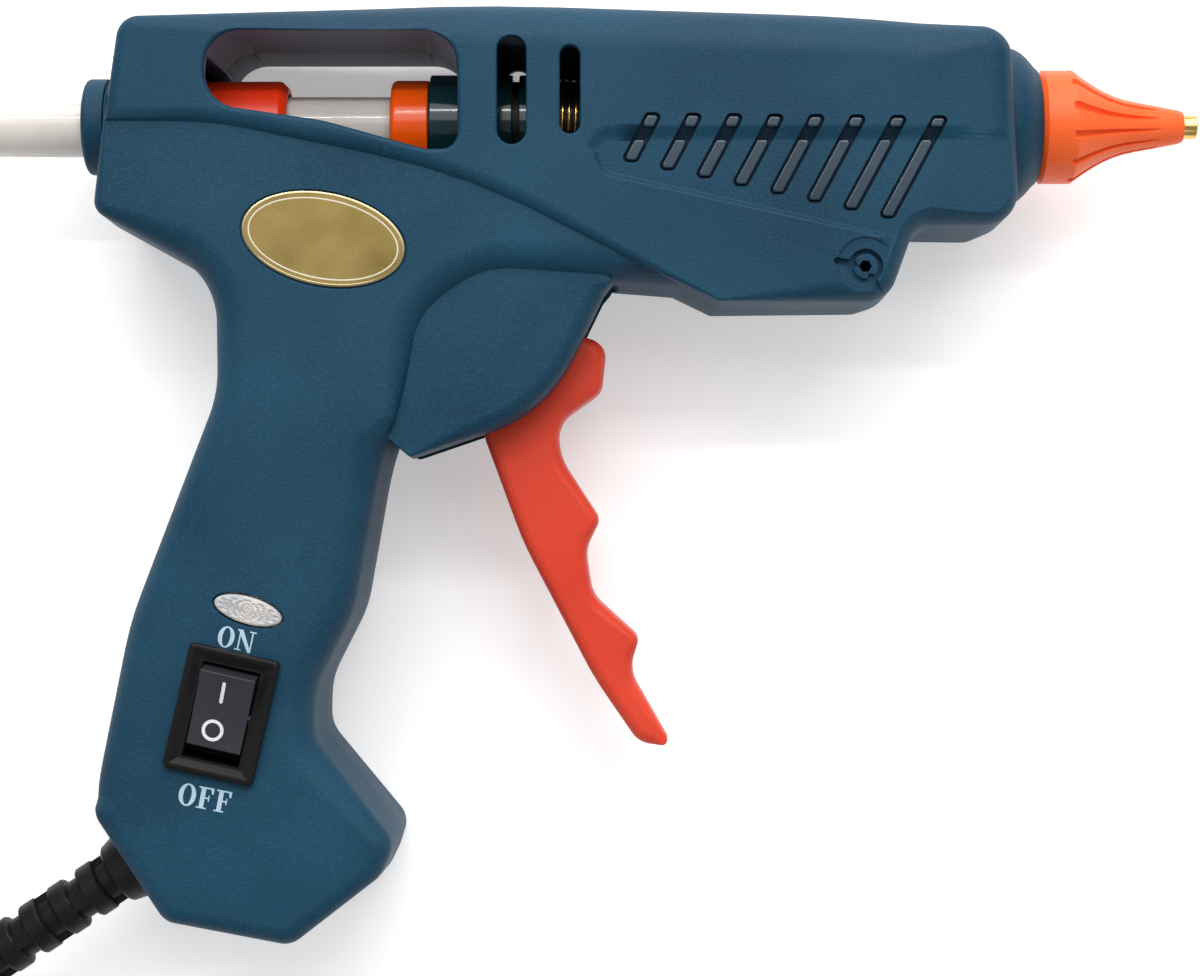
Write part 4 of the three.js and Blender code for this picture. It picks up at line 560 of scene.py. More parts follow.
skin_depth, core_depth, core_nose = 1.7, 0.6, nose_end - 1.6
skin = cut(copy_of("skin", outside), inner(skin_depth))
core_reach = joined(inner(core_depth), turned(
    "nose", [(155, 0), (155, 13.9), (167.5, 13.9), (core_nose, 10.4), (core_nose, 0)]))


def mouth(name, points, top, depth, lip, width=0.0):
    """A hole's cutter from a depth up to past the face at top, widening over a rounded lip."""
    rings = [level(inset(points, width), top - depth)]
    rings += [level(inset(points, -lip * gone), top - lip * left) for gone, left in quarter(5)]
    return loft(name, [*rings, level(inset(points, -lip), top + clear)])


def slot_line(x0, y0, x1, y1, width, steps=10):
    """A slot with round ends from one centre to another."""
    along = math.atan2(y1 - y0, x1 - x0)
    return [(*spun(x, y, width / 2, 0, along + turn + math.pi * k / steps), 0)
            for x, y, turn in [(x1, y1, -math.pi / 2), (x0, y0, math.pi / 2)] for k in range(steps + 1)]


# Openings that both halves have: the viewing window, whose tunnel wall is lighter as painted light, two
# vents, the sunk panel with its eight blind slots, whose walls and polished floors are darker as painted
# shade, the stand's socket, the guide's and nose's holes and the trigger's mouth.
petrol = finish("housing_nylon", (0.002, 0.033, 0.068), (0.013, 0.077, 0.130), (0.5, 0.62), 0.42, 0.06,
                glint_speck=0.5, Specular_IOR_Level=0.2)
# The slots' polished floors: the low roughness is the real polish, and the base colour, darker than the
# nylon's, is painted shade.
polished_painted_shade = finish("housing_polished_painted_shade", (0.002, 0.020, 0.038), (0.005, 0.032, 0.056), (0.18, 0.26), 7,
                         0.012, Specular_IOR_Level=0.75)
# A darker copy of the same nylon for the blind slots' walls and floors: painted shade, where the narrow slots
# lie in shadow.
slot_painted_shade = finish("housing_slot_painted_shade", (0.002, 0.012, 0.024), (0.004, 0.018, 0.032), (0.5, 0.62), 0.42,
                      0.02, Specular_IOR_Level=0.15)
# A lighter copy of the same nylon for the window's tunnel wall: painted light, for the light that falls into
# the tunnel.
wall_painted_light = finish("housing_wall_painted_light", (0.085, 0.09, 0.135), (0.15, 0.155, 0.21), (0.5, 0.62), 0.46, 0.04,
                     glint_speck=0.6, Specular_IOR_Level=0.25)
window_outline = outline([
    on_barrel(0.123, 0.712, 8.5), on_barrel(0.394, 0.712, 6.5), on_barrel(0.394, -0.32, 3.5),
    on_barrel(0.36, -0.325, 3.5), on_barrel(0.25, -0.075, 22), on_barrel(0.123, 0.075, 6.5)])
window_draft, window_lip = 0.8, 0.9
window = mouth("window", window_outline, half_thickness, half_thickness + past, window_lip, window_draft)
dress(window, petrol, wall_painted_light)
# The tunnel's wall faces take that lighter copy, as painted light; the lip keeps the plain nylon.
for face in window.data.polygons[caps:caps + len(window_outline)]:
    face.material_index = 1
vent_depth, vent_lip = 4.4, 0.4
vents = [mouth("vent", slot_line(*on_barrel(along, high), *on_barrel(along, low), width), half_thickness,
               vent_depth, vent_lip)
         for along, high, low, width in [(0.452, 0.54, -0.16, 5.2), (0.5145, 0.49, -0.107, 3.6)]]
panel_depth, ledge_width, rim_width = 0.9, 3.0, 1.2
panel_outline = outline([
    on_barrel(0.545, -0.255, 6.5), on_barrel(1.05, -0.255), on_barrel(1.05, -1.4),
    on_barrel(0.88, -1.1), on_barrel(0.548, -0.5, 6.5)])


def panel_cutter(name, drop=0.0):
    """The panel's cutter with its sloping rim, lowered by drop."""
    rings = []
    for share in [k / 8 for k in range(9)]:
        slope = 0.5 - 0.5 * math.cos(math.pi * share)
        moved = inset(panel_outline, [
            -(ledge_width if y > -0.35 * half_height else rim_width) * share for _, y, _ in panel_outline])
        rings.append(level(moved, half_thickness - panel_depth - drop + panel_depth * slope))
    return loft(name, [*rings, level(moved, half_thickness + clear)])


def slanted(x, y, lean, top, bottom, half_width, corner):
    """A slot's outline with level ends, about the line through (x, y) that leans by lean to each mm up."""
    return outline([(x + lean * (end - y) + side * half_width, end, corner)
                    for end, side in [(top, -1), (top, 1), (bottom, 1), (bottom, -1)]])


slot_depth, slot_half_width, pad_gap, pad_drop, pad_round = 1.0, 1.62, 0.38, 0.34, 0.4
ledge_low, panel_high = -2.8, -4.9
slot_floor = joined(
    block("slot_floor", 0, 3 * far, -far, far, half_thickness - slot_depth, half_thickness + clear),
    panel_cutter("slot_floor", slot_depth))
blind_slots = []
for share in [k / 7 for k in range(8)]:
    x0, y0 = on_barrel(0.598 + share * 0.308, -0.125)
    x1, y1 = on_barrel(0.582 + share * 0.275, -0.37 - share * 0.49)
    lean = (x1 - x0) / (y1 - y0)
    top, bottom = -0.2 - 0.55 * share, y1 - 1.5
    points = slanted(x0, y0, lean, top, bottom, slot_half_width, 1.0)
    slot = mouth("blind_slot", points, half_thickness + 3, 8, 0.1)
    # The slot's walls and floor take the darker copy: painted shade.
    dress(shaped(slot, "INTERSECT", slot_floor, keep=True), slot_painted_shade)
    for high, low, face in [(top - pad_gap, ledge_low, half_thickness),
                            (panel_high, bottom + pad_gap, half_thickness - panel_depth)]:
        points = slanted(x0, y0, lean, high, low, slot_half_width - pad_gap, 0.7)
        rings = [level(inset(points, pad_round * gone), face - pad_drop - pad_round * left)
                 for gone, left in quarter(4)]
        # The pads take the polished copy, darker as painted shade.
        cut(slot, dress(loft("slot_pad", [level(points, face - 3), *rings]), polished_painted_shade))
    blind_slots.append(slot)
bpy.data.objects.remove(slot_floor)
socket_x, socket_y = on_belly(0.831, 0.51)
socket_face, socket_top = half_thickness - 1.1, half_thickness + past
socket_floor = socket_face - 0.7
hub_radius, key_reach, key_width = 2.2, 5.2, 1.3
key_angles = math.radians(170), math.radians(298)


def from_socket(radius, angle):
    return spun(socket_x, socket_y, radius, 0, angle)


socket = [
    rod("socket_disc", socket_x, socket_y, key_reach, half_thickness - 0.4, socket_top, 96),
    joined(cut(rod("socket", socket_x, socket_y, 3.1, socket_floor, socket_top),
               rod("socket_hub", socket_x, socket_y, hub_radius, 0, half_thickness - 0.8)),
           prism("socket_sector", [(socket_x, socket_y, 0), *[
               (*from_socket(4.9, key_angles[0] + (key_angles[1] - key_angles[0]) * k / 24), 0)
               for k in range(25)]], socket_face, socket_top),
           *[prism("socket_key", slot_line(*from_socket(hub_radius, angle), *from_socket(key_reach, angle),
                                           key_width), socket_floor, socket_top) for angle in key_angles]),
    rod("socket_hole", socket_x, socket_y, 1.15, half_thickness - 9, socket_top, 6)]
guide_hole = drum("guide_hole", -9, 8.01, 8.2)
nose_hole = turned("nose_hole", [
    (160.5, 0), (160.5, nose_bore), (nose_end - 0.4, nose_bore), (nose_end, nose_bore + 0.4),
    (nose_end + past, nose_bore + 0.4), (nose_end + past, 0)], 96)
mouth_rim = [on_handle(1.036, 0.322, 0), on_belly(0.49, 2.4, 60), on_belly(0.566, 0.7, 0)]
mouth_half, mouth_out, mouth_in = 7.4, 6.6, 3.5
trigger_mouth = prism("trigger_mouth", outline(
    [(x + mouth_out, y - mouth_out, r) for x, y, r in mouth_rim]
    + [(x - mouth_in, y + mouth_in, r) for x, y, r in reversed(mouth_rim)]), -past, mouth_half)
openings = [window, *vents, panel_cutter("panel"), *blind_slots, *socket, guide_hole, nose_hole,
            trigger_mouth]

# Holes of one half alone: switch, lens and badge on the right, wells for the screw heads on the left,
# and in both the hole for the cord at the foot of the handle.
entry_above, entry_below = on_handle(0, 0.817), on_handle(0.233, 0.966)
entry_x, entry_y = (entry_above[0] + entry_below[0]) / 2, (entry_above[1] + entry_below[1]) / 2
cord_angle = math.atan2(entry_above[0] - entry_below[0], entry_below[1] - entry_above[1])


def laid(piece, place):
    """The piece with each point (u, v, w) of its drawing put where place(u, v, w) says."""
    for vertex in piece.data.vertices:
        vertex.co = at(*place(*((vertex.co - at(0, 0)) / MM)))
    return piece


def on_cord(u, v, w):
    """Drawn along the cord, with u measured outwards from where it leaves the handle."""
    return *spun(entry_x, entry_y, u, v, cord_angle), w


def tilted_box(x, y, length, width, angle, radius=0.0):
    return outline([(*spun(x, y, u * width / 2, v * length / 2, angle), radius)
                    for u, v in [(1, 1), (-1, 1), (-1, -1), (1, -1)]])


def badge_oval(inward, sides=64):
    return oval(badge_x, badge_y, badge_length - 2 * inward, badge_width - 2 * inward, badge_tilt, sides)


def lens_oval(inward, share=1.0, sides=64):
    return oval(lens_x, lens_y, (lens_length - 2 * inward) * share, (lens_width - 2 * inward) * share,
                lens_tilt, sides)


switch_tilt, lens_tilt, badge_tilt = math.radians(-13), math.radians(-16), math.radians(-11)
switch_x, switch_y = on_handle(0.433, 0.6725)
cutout_length, cutout_width = 20, 14.2
lens_x, lens_y = on_handle(0.516, 0.5297)
lens_length, lens_width = 13, 5.4
badge_x, badge_y = on_belly(0.25, 0.158)
badge_length, badge_width, badge_play = 29.6, 16.6, 0.3
badge_top = handle_top(badge_y)
right_holes = [
    prism("switch_hole", tilted_box(switch_x, switch_y, cutout_length, cutout_width, switch_tilt), 14.4, 22),
    mouth("lens_hole", lens_oval(0), handle_top(lens_y), 6, 0.35),
    mouth("badge_recess", badge_oval(-badge_play), badge_top, 0.5, 0.2)]
screw_places = [
    on_barrel(0.072, 0.62), on_barrel(0.066, -0.69), on_barrel(0.63, 0.66), on_barrel(0.878, -0.68),
    on_belly(0.69, 0.42), on_handle(0.51, 0.2), on_handle(0.76, 0.55), on_handle(0.86, 0.87)]
well_radius, well_depth = 3.1, 7
left_holes = [rod("screw_well", x, y, well_radius, half_thickness - well_depth, half_thickness + past)
              for x, y in screw_places]
openings.append(laid(drum("cord_hole", -8, 8, 4.9, 48), on_cord))
for name, holes in [("housing_right", right_holes), ("housing_left", left_holes)]:
    half = copy_of(name + "_shell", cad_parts[name])
    if name == "housing_left":
        mirror(half)
    shaped(half, "INTERSECT", core_reach, keep=True)
    shaped(half, "UNION", skin, keep=True)
    for tool in openings:
        shaped(half, "DIFFERENCE", tool, keep=True)
    cut(half, *holes)
    if name == "housing_left":
        mirror(half)
    softened(half).data.materials[0] = petrol
    fit(half, "root", "housing", name)
for tool in [outside, core_reach, skin, *openings]:
    bpy.data.objects.remove(tool)

# Rear guide: a ring of the housing's nylon, held by its inner flange, that the glue stick is fed through.
guide = turned("guide_ring", [
    (-4, 7), (-3, 6), (9.8, 6), (9.8, 8.9), (8.02, 8.9), (8.02, 7.9), (0, 7.9), (0, 8.9), (-3.2, 8.9),
    (-3.7, 8.7), (-4, 8.2), (-4, 7)])
fit(dress(softened(guide, 0.15), petrol), "root", "housing", "rear_guide_ring")

# Glue stick: an extruded bar of clear, milky hot melt. Light goes far into it, and its surface is glossy
# with the faint rings and scuffs of extrusion and packing.
glue = finish("hot_melt_glue", (0.66, 0.62, 0.585), (0.73, 0.69, 0.65), (0.05, 0.08), 4, 0.003, drift=0.02,
              glint_speck=0.2, IOR=1.48, Subsurface_Weight=0.8, Subsurface_Scale=0.004,
              Subsurface_Radius=(1.0, 0.85, 0.7))
stick = turned("glue_bar", [
    (-stick_standout, 0), (-stick_standout, 5.1), (0.15 - stick_standout, 5.4), (0.5 - stick_standout, 5.6),
    (70.7, 5.6), (71, 5.3), (71, 0)])
fit(dress(softened(stick), glue), "stick", "glue", "glue_stick")

# Feed carriage: an orange moulding round the stick that slides on rails in the housing. Its tube is turned
# smooth here; its cheeks and keys stay as the frame has them.
feed_red = finish("carriage_plastic", (0.84, 0.026, 0.002), (0.98, 0.052, 0.005), (0.3, 0.42), 0.5, 0.008)
carriage_start, carriage_end = 13.026, 33.526
carriage_radius, carriage_room, carriage_bore = 8.42, 8.1, 6.2
carriage = copy_of("carriage_sleeve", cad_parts["feed_carriage"])
cut(carriage, drum("tube_room", carriage_start - 1, carriage_end + 1, carriage_room, 16))
carriage_tube = turned("carriage_tube", [
    (carriage_start, carriage_bore), (carriage_end, carriage_bore), (carriage_end, 7),
    (carriage_end - 0.3, 7.4), (carriage_end - 1.2, 8.3), (carriage_end - 1.6, carriage_radius),
    (carriage_start, carriage_radius), (carriage_start, carriage_bore)])
cut(carriage_tube, block("pawl_slot", 19.95, 28.7, -9.4, 0, -2.2, 2.2))
dress(softened(joined(carriage, carriage_tube), 0.12), feed_red)
fit(carriage, "carriage", "carriage_plastic", "feed_carriage")

# Feed mechanism: a pressed steel link from the trigger's arm pulls the carriage, and tips a pawl whose
# edge bites the stick. Turned and blanked steel, zinc plated, with headed pins.
zinc = finish("zinc_plate", (0.42, 0.43, 0.44), (0.6, 0.6, 0.6), (0.3, 0.42), 0.35, 0.006,
              lines=0.25, Metallic=1.0)
lug_x, arm_x, arm_y = 30.041, 71.823, -14.241
pawl_x, pawl_y = 20.529, -11.3
pivot_x, pivot_y = 76.4025, -37.8
link = cut(prism("push_link_blank", slot_line(lug_x, arm_y, arm_x, arm_y, 6, 16), -1.2, 1.2),
           rod("hole", lug_x, arm_y, 2.2, -5, 5), rod("hole", arm_x, arm_y, 1.8, -5, 5))
pawl = copy_of("pawl_blank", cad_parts["grip_pawl"])
for piece, body, node_name in [(link, "link", "push_link"), (pawl, "pawl", "grip_pawl")]:
    fit(dress(softened(piece, 0.15), zinc), body, "steel", node_name)
for node_name, x, y, radius, half, body in [
        ("link_pin", lug_x, arm_y, 1.5, 4.3, "carriage"), ("pawl_pin", pawl_x, pawl_y, 1.2, 4.3, "carriage"),
        ("arm_pin", arm_x, arm_y, 1.5, 4.5, "trigger"), ("trigger_pin", pivot_x, pivot_y, 2, 15.6, "root")]:
    pin = rod(node_name + "_turned", x, y, radius, -half, half, 40)
    fit(dress(softened(pin, 0.25), zinc), body, "steel", node_name)

# Inlet: a silicone sleeve, orange at its flange in the window and black past it, takes the stick to the
# chamber; the black is painted shade for the dark inside that the vents show. A dark tube and a collar stand
# round it in the ribs, and a coil of brass wire presses it home.
silicone = finish("inlet_silicone", (0.90, 0.085, 0.002), (1.0, 0.125, 0.004), (0.12, 0.2), 0.3, 0.002,
                  drift=0.01)
dark_plastic = finish("dark_plastic", (0.003, 0.02, 0.026), (0.008, 0.034, 0.042), (0.08, 0.13), 0.4, 0.002)
brass = finish("brass", (0.58, 0.36, 0.10), (0.80, 0.56, 0.22), (0.14, 0.24), 0.3, 0.004,
               lines=0.12, Metallic=1.0)
sleeve_start, sleeve_end, collar_start, collar_end = 52.629, 90.121, 76.384, 78.784
sleeve_radius, sleeve_bore, flange_radius = 8.4, 5.9, 8.6
flange_end = sleeve_start + 7
sleeve = turned("silicone_sleeve", [
    (sleeve_start, sleeve_bore + 0.3), (sleeve_start + 0.3, sleeve_bore), (collar_end - 0.3, sleeve_bore),
    (collar_end - 0.3, 7.5), (sleeve_end, 7.5), (sleeve_end, sleeve_radius - 0.3),
    (sleeve_end - 0.3, sleeve_radius), (flange_end, sleeve_radius), (flange_end, flange_radius - 0.2),
    (flange_end - 0.2, flange_radius), (sleeve_start + 1.1, flange_radius),
    (sleeve_start + 0.5, flange_radius - 0.2), (sleeve_start + 0.15, flange_radius - 0.6),
    (sleeve_start, flange_radius - 1.1), (sleeve_start, sleeve_bore + 0.3)], 96)
tube = turned("window_tube", [
    (59.93, 8.8), (75.184, 8.8), (75.184, 9.4), (74.98, 9.6), (60.13, 9.6), (59.93, 9.4), (59.93, 8.8)], 96)
collar = turned("stop_collar", [
    (collar_start, 8.7), (collar_end, 8.7), (collar_end, 9.4), (collar_end - 0.2, 9.6),
    (collar_start + 0.2, 9.6), (collar_start, 9.4), (collar_start, 8.7)], 96)
curl_steps = 32


def helix(low, high, curls, radius, y=0, z=0, start=0, way=1):
    """A coil's points along x from low to high."""
    count = curls * curl_steps
    turns = [start + way * math.tau * k / curl_steps for k in range(count + 1)]
    return [(low + (high - low) * k / count, y + radius * math.sin(turn), z + radius * math.cos(turn))
            for k, turn in enumerate(turns)]


sleeve_spring = dress(wire("sleeve_coil", helix(collar_end + 0.7, sleeve_end - 0.8, 8, 8.95), 0.4), brass)
fit(sleeve_spring, "root", "brass", "sleeve_spring")
fit(dress(softened(sleeve), silicone, rubber), "root", "silicone", "inlet_sleeve")
fit(dress(softened(tube), dark_plastic), "root", "dark_plastic", "inlet_tube")
fit(dress(softened(collar), dark_plastic), "root", "dark_plastic", "retaining_collar")
# Past the flange the sleeve takes the black rubber: painted shade for the dark gaps seen through the vents.
for face in sleeve.data.polygons:
    face.material_index = int(face.center.x > at(flange_end - 0.05, 0).x)

# Melt chamber: a die-cast barrel with its heater box, carried by two ceramic rings, with a ceramic heater
# plate and a steel clip. They keep the frame's shapes and take their metals and ceramic here.
aluminium = finish("cast_aluminium", (0.46, 0.46, 0.46), (0.62, 0.62, 0.61), (0.35, 0.5), 0.6, 0.03,
                   Metallic=1.0)
ceramic = finish("ceramic", (0.66, 0.62, 0.52), (0.80, 0.77, 0.69), (0.6, 0.72), 0.4, 0.01)
for node_name, material, slot in [
        ("melt_chamber", aluminium, "cast_aluminium"), ("heater_clip", zinc, "steel"),
        ("heater_plate", ceramic, "ceramic"), ("chamber_ring_rear", ceramic, "ceramic"),
        ("chamber_ring_front", ceramic, "ceramic")]:
    piece = copy_of(node_name + "_part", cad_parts[node_name])
    fit(dress(softened(piece, 0.15), material), "root", slot, node_name)

# Nozzle: turned from hexagonal brass, screwed into the chamber, with a ball and a fine spring in it that
# keep the hot glue back until the stick is pushed.
nozzle_start, hexagon_start, throat_end, nozzle_end = 146.8, 158.105, 162.705, 202.604
nozzle_radius, thread_radius, throat_radius, tip_radius = 6.2, 3.2, 1.8, 2.25
taper_start, tip_start = nozzle_end - 20.4, nozzle_end - 10.4
nozzle = turned("nozzle_turned", [
    (nozzle_start, throat_radius), (throat_end, throat_radius), (throat_end + 2, 2.6), (taper_start + 2, 2.6),
    (tip_start, 1), (nozzle_end - 0.2, 1), (nozzle_end, 1.2), (nozzle_end, tip_radius - 0.6),
    (nozzle_end - 0.15, tip_radius - 0.25), (nozzle_end - 0.45, tip_radius), (tip_start, tip_radius),
    (taper_start, nozzle_radius), (hexagon_start, nozzle_radius), (hexagon_start, thread_radius),
    (nozzle_start, thread_radius), (nozzle_start, throat_radius)], 96)
hexagon = cut(drum("hexagon", hexagon_start, throat_end, 7, 6),
              drum("hexagon_bore", hexagon_start - 1, throat_end + 1, 5.2, 96))
fit(dress(softened(joined(nozzle, hexagon)), brass), "root", "brass", "nozzle")
ball_x, ball_radius = throat_end + 2 + 1.1, 2.2
ball = turned("valve_ball", [(ball_x - ball_radius * math.cos(turn), ball_radius * math.sin(turn))
                             for turn in [math.pi * k / 24 for k in range(25)]], 48)
fit(dress(softened(ball), zinc), "valve", "steel", "check_ball")


def meshed(piece):
    """The same wire as a mesh."""
    name, mesh = piece.name, baked(piece)
    bpy.data.objects.remove(piece)
    return put(name, mesh)


valve_low, valve_high = ball_x + ball_radius, taper_start + 2
valve_spring = dress(meshed(wire("valve_spring", helix(valve_low, valve_high, 3, 2.05), 0.25)), zinc)
fit(valve_spring, "root", "steel", "check_spring")
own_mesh(valve_spring)

# Nozzle sleeve: a moulded silicone cap pushed over the nozzle into the housing's nose, with a plain collar
# and a waisted cone whose twelve flutes fade out towards the tip.
cap_silicone = finish("cap_silicone", (0.85, 0.105, 0.018), (0.96, 0.150, 0.030), (0.34, 0.46), 0.5, 0.01,
                      drift=0.015, Specular_IOR_Level=0.3)
cap_start, cap_length, cap_radius, cap_edge = 172.55, 27.2, 10.5, 0.8
cap_bore, cap_tip_bore, neck_radius = 6.5, 2.55, 8.6
flutes, flute_sides, flute_depth, flute_width = 12, 20, 1.25, 0.3
collar_share, flute_start, flute_stop = 0.235, 0.2, 0.83
waist = [(0.235, 1), (0.27, 0.93), (0.338, 0.81), (0.4, 0.71), (0.46, 0.625), (0.53, 0.545), (0.6, 0.485),
         (0.7, 0.43), (0.85, 0.36), (0.97, 0.3), (1, 0.27)]


def cap_radius_at(share):
    if share <= collar_share:
        return cap_radius - cap_edge * max(0, 0.03 - share) / 0.03
    for (low, wide), (high, narrow) in zip(waist, waist[1:]):
        if share <= high:
            return cap_radius * (wide + (narrow - wide) * (share - low) / (high - low))
    return cap_radius * waist[-1][1]


def flute_at(share, angle):
    """How deep the flutes are at a share of the cap's length and an angle round it."""
    if not flute_start < share < flute_stop:
        return 0
    gone = (share - flute_start) / (flute_stop - flute_start)
    fade = min((share - flute_start) / 0.025, 1) * math.sqrt(1 - gone)
    off = abs((angle * flutes / math.tau) % 1 - 0.5) * 2
    return flute_depth * fade * max(0, 1 - (off / flute_width) ** 2) ** 0.5


cap_rings = []
close_shares, wide_shares = [0.195 + 0.006 * k for k in range(9)], [0.25 + 0.015 * k for k in range(50)]
for share in [0, 0.03, *close_shares, *wide_shares, 1]:
    ring = []
    for angle in [math.tau * k / (flutes * flute_sides) for k in range(flutes * flute_sides)]:
        radius = cap_radius_at(share) - flute_at(share, angle)
        ring.append((cap_start + share * cap_length, radius * math.sin(angle), radius * math.cos(angle)))
    cap_rings.append(ring)
cap = cut(joined(loft("fluted_cap", cap_rings), drum("cap_neck", 163.005, cap_start + 2, neck_radius, 96)),
          turned("cap_bore", [
              (162, 0), (162, cap_bore), (taper_start, cap_bore), (tip_start, cap_tip_bore),
              (tip_start + 9, cap_tip_bore), (tip_start + 9, 0)], 96))
fit(dress(softened(cap, angle=40), cap_silicone), "root", "silicone", "nozzle_sleeve")

# Trigger: a hollow orange moulding with three finger grooves in front, a hub on its steel pin and a forked
# arm inside the housing that carries the link.
coral = finish("trigger_plastic", (0.59, 0.040, 0.017), (0.73, 0.064, 0.028), (0.4, 0.52), 0.4, 0.025,
               glint_speck=0.4, Specular_IOR_Level=0.25)
trigger_reach, trigger_drop, trigger_half, trigger_skin, trigger_round = 28.4, 77.1, 7, 2.6, 2.2
trigger_outline = outline([
    (pivot_x + reach * trigger_reach, pivot_y - drop * trigger_drop, radius, trigger_round)
    for reach, drop, radius in [
        (0.572, 0.036, 3.5), (0.537, 0.153, 3.5), (0.254, 0.228, 6.5), (0.265, 0.307, 13), (0.53, 0.457, 2.4),
        (0.434, 0.53, 6.5), (0.48, 0.638, 6.5), (0.787, 0.74, 2.4), (0.72, 0.82, 6.5), (1, 1, 1.2),
        (0.777, 0.996, 5), (0.48, 0.837, 60), (0.021, 0.515, 60), (-0.219, 0.275, 0), (-0.35, 0.119, 6.5),
        (-0.367, 0.08, 6.5), (-0.226, -0.099, 6.5), (0.233, -0.099, 5), (0.346, 0.009, 0)]])


def two_sided(name, points, half):
    """A whole moulding with the same half on both sides of its parting plane, where they overlap."""
    overlap = 0.2
    return joined(moulding(name, points, lambda y: half, 0),
                  mirror(moulding(name, points, lambda y: half, -overlap)))


depth = trigger_half - trigger_skin
hollow = shaped(
    prism("hollow", [(x - 2 * trigger_skin, y, 0) for x, y, _ in trigger_outline], -depth, depth),
    "INTERSECT",
    block("hollow_room", 0, 2 * far, pivot_y - trigger_drop + 2 * trigger_skin, pivot_y - 3 * trigger_skin,
          -depth, depth))
arm_width, arm_half, fork_half = 7.6, 4.5, 1.5
arm = cut(prism("arm", slot_line(pivot_x, pivot_y, arm_x, arm_y, arm_width, 16), -arm_half, arm_half),
          block("fork", arm_x - arm_width, arm_x + arm_width, arm_y - 5.4, arm_y + arm_width, -fork_half,
                fork_half))
peg_x, peg_y, spring_level = 74.113, -26.02, -10.25
trigger = joined(cut(two_sided("trigger_body", trigger_outline, trigger_half), hollow), arm,
                 rod("peg", peg_x, peg_y, 1.4, spring_level - 2.5, -3.5, 32))
cut(trigger, rod("hub", pivot_x, pivot_y, 2.4, -20, 20), rod("arm_hole", arm_x, arm_y, 1.65, -20, 20))
fit(dress(softened(trigger), coral), "trigger", "trigger_plastic", "trigger")

# Return spring: music wire with a hook at each end, from a post of the left half to the arm's peg.
post_x, post_hook, peg_hook = 47.113, 2.45, 2.05
coil_low, coil_high = post_x + 2 * post_hook, peg_x - 2 * peg_hook


def hook(x, radius, start):
    return [(*spun(x, peg_y, radius, 0, start + math.pi * k / 12), spring_level) for k in range(13)]


return_route = hook(post_x, post_hook, math.pi / 2)
return_route += helix(coil_low, coil_high, 8, 2.5, peg_y, spring_level, -math.pi / 2, -1)
return_route += hook(peg_x, peg_hook, -math.pi / 2)
return_spring = dress(meshed(wire("trigger_spring", return_route, 0.35)), zinc)
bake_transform(return_spring)
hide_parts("return_spring")

# Badge: an oval of brushed, gold-coloured aluminium foil on a plate, glued in its recess. It is bare, with
# a bright edge and one thin printed line inside it.
gold = finish("gold_foil", (0.25, 0.175, 0.052), (0.37, 0.27, 0.10), (0.3, 0.42), 0.3, 0.006, drift=0.01,
              lines=0.3, Metallic=0.85)
gold_edge = finish("gold_edge", (0.42, 0.34, 0.18), (0.55, 0.46, 0.28), (0.2, 0.3), 0.3, 0.004, Metallic=0.9)
badge_ink = finish("badge_ink", (0.62, 0.58, 0.44), (0.74, 0.70, 0.56), (0.5, 0.6), 0.3, 0.003)
badge_sides = 128
badge_steps = [(0.15, -0.5), (0, -0.4), (0, -0.02), (0.06, 0.07), (0.2, 0.11), (0.42, 0.11), (0.5, 0.06),
               (1.12, 0.06), (1.15, 0.085), (1.36, 0.085), (1.39, 0.06), (3.5, 0.07), (6, 0.075)]
edge_rings, line_rings = range(0, 6), range(7, 10)
badge = loft("badge_foil", [level(badge_oval(inward, badge_sides), badge_top + rise)
                            for inward, rise in badge_steps])
dress(badge, gold, gold_edge, badge_ink)
for face in badge.data.polygons:
    ring = (face.index - caps) // badge_sides
    face.material_index = int(ring in edge_rings) + 2 * int(ring in line_rings)
fit(softened(badge), "root", "gold", "badge_plate")

# Power lamp: a clear oval lens with moulded facets on its inner face, pushed out through its hole, and a
# neon lamp behind it whose warm light shows in the middle.
lens_glass = finish("lens_clear", (0.82, 0.83, 0.85), (0.95, 0.95, 0.96), (0.03, 0.07), 0.8, 0.004, IOR=1.5,
                    Transmission_Weight=0.5)
lamp_glow = finish("lamp_glass", (0.95, 0.72, 0.5), (1.0, 0.84, 0.66), (0.2, 0.3), 0.6, 0.004,
                   Emission_Color=(1.0, 0.7, 0.48, 1), Emission_Strength=0.45)
lens_foot, lens_top, lens_flange = 15.7, handle_top(lens_y), 1.6
lens_sides, facet_sides, facet_rings, facet_rise, dome_rise = 72, 3, 7, 0.24, 0.12
lens_rings = [level(lens_oval(inward, 1, lens_sides), z) for inward, z in [
    (-lens_flange, lens_foot), (-lens_flange, lens_foot + lens_flange), (0.3, lens_foot + lens_flange),
    (0.3, lens_top - 0.05), (0.375, lens_top + 0.12), (0.55, lens_top + 0.28), (0.8, lens_top + 0.34)]]
for k in range(1, facet_rings):
    share = 1 - k / facet_rings
    dome = lens_top + 0.36 + dome_rise * (1 - share ** 2)
    lens_rings.append([(x, y, dome - facet_rise * ((i // facet_sides + k) % 2))
                       for i, (x, y, _) in enumerate(lens_oval(0.95, share, lens_sides))])
lens = softened(loft("lamp_lens", lens_rings), angle=12)
lamp = softened(rod("neon_lamp", lens_x, lens_y, 2.4, lens_foot - 8.3, lens_foot - 0.3, 40), 0.8, 4)
fit(dress(lens, lens_glass), "root", "lens", "indicator_lens")
fit(dress(lamp, lamp_glow), "root", "lens", "indicator_lamp")

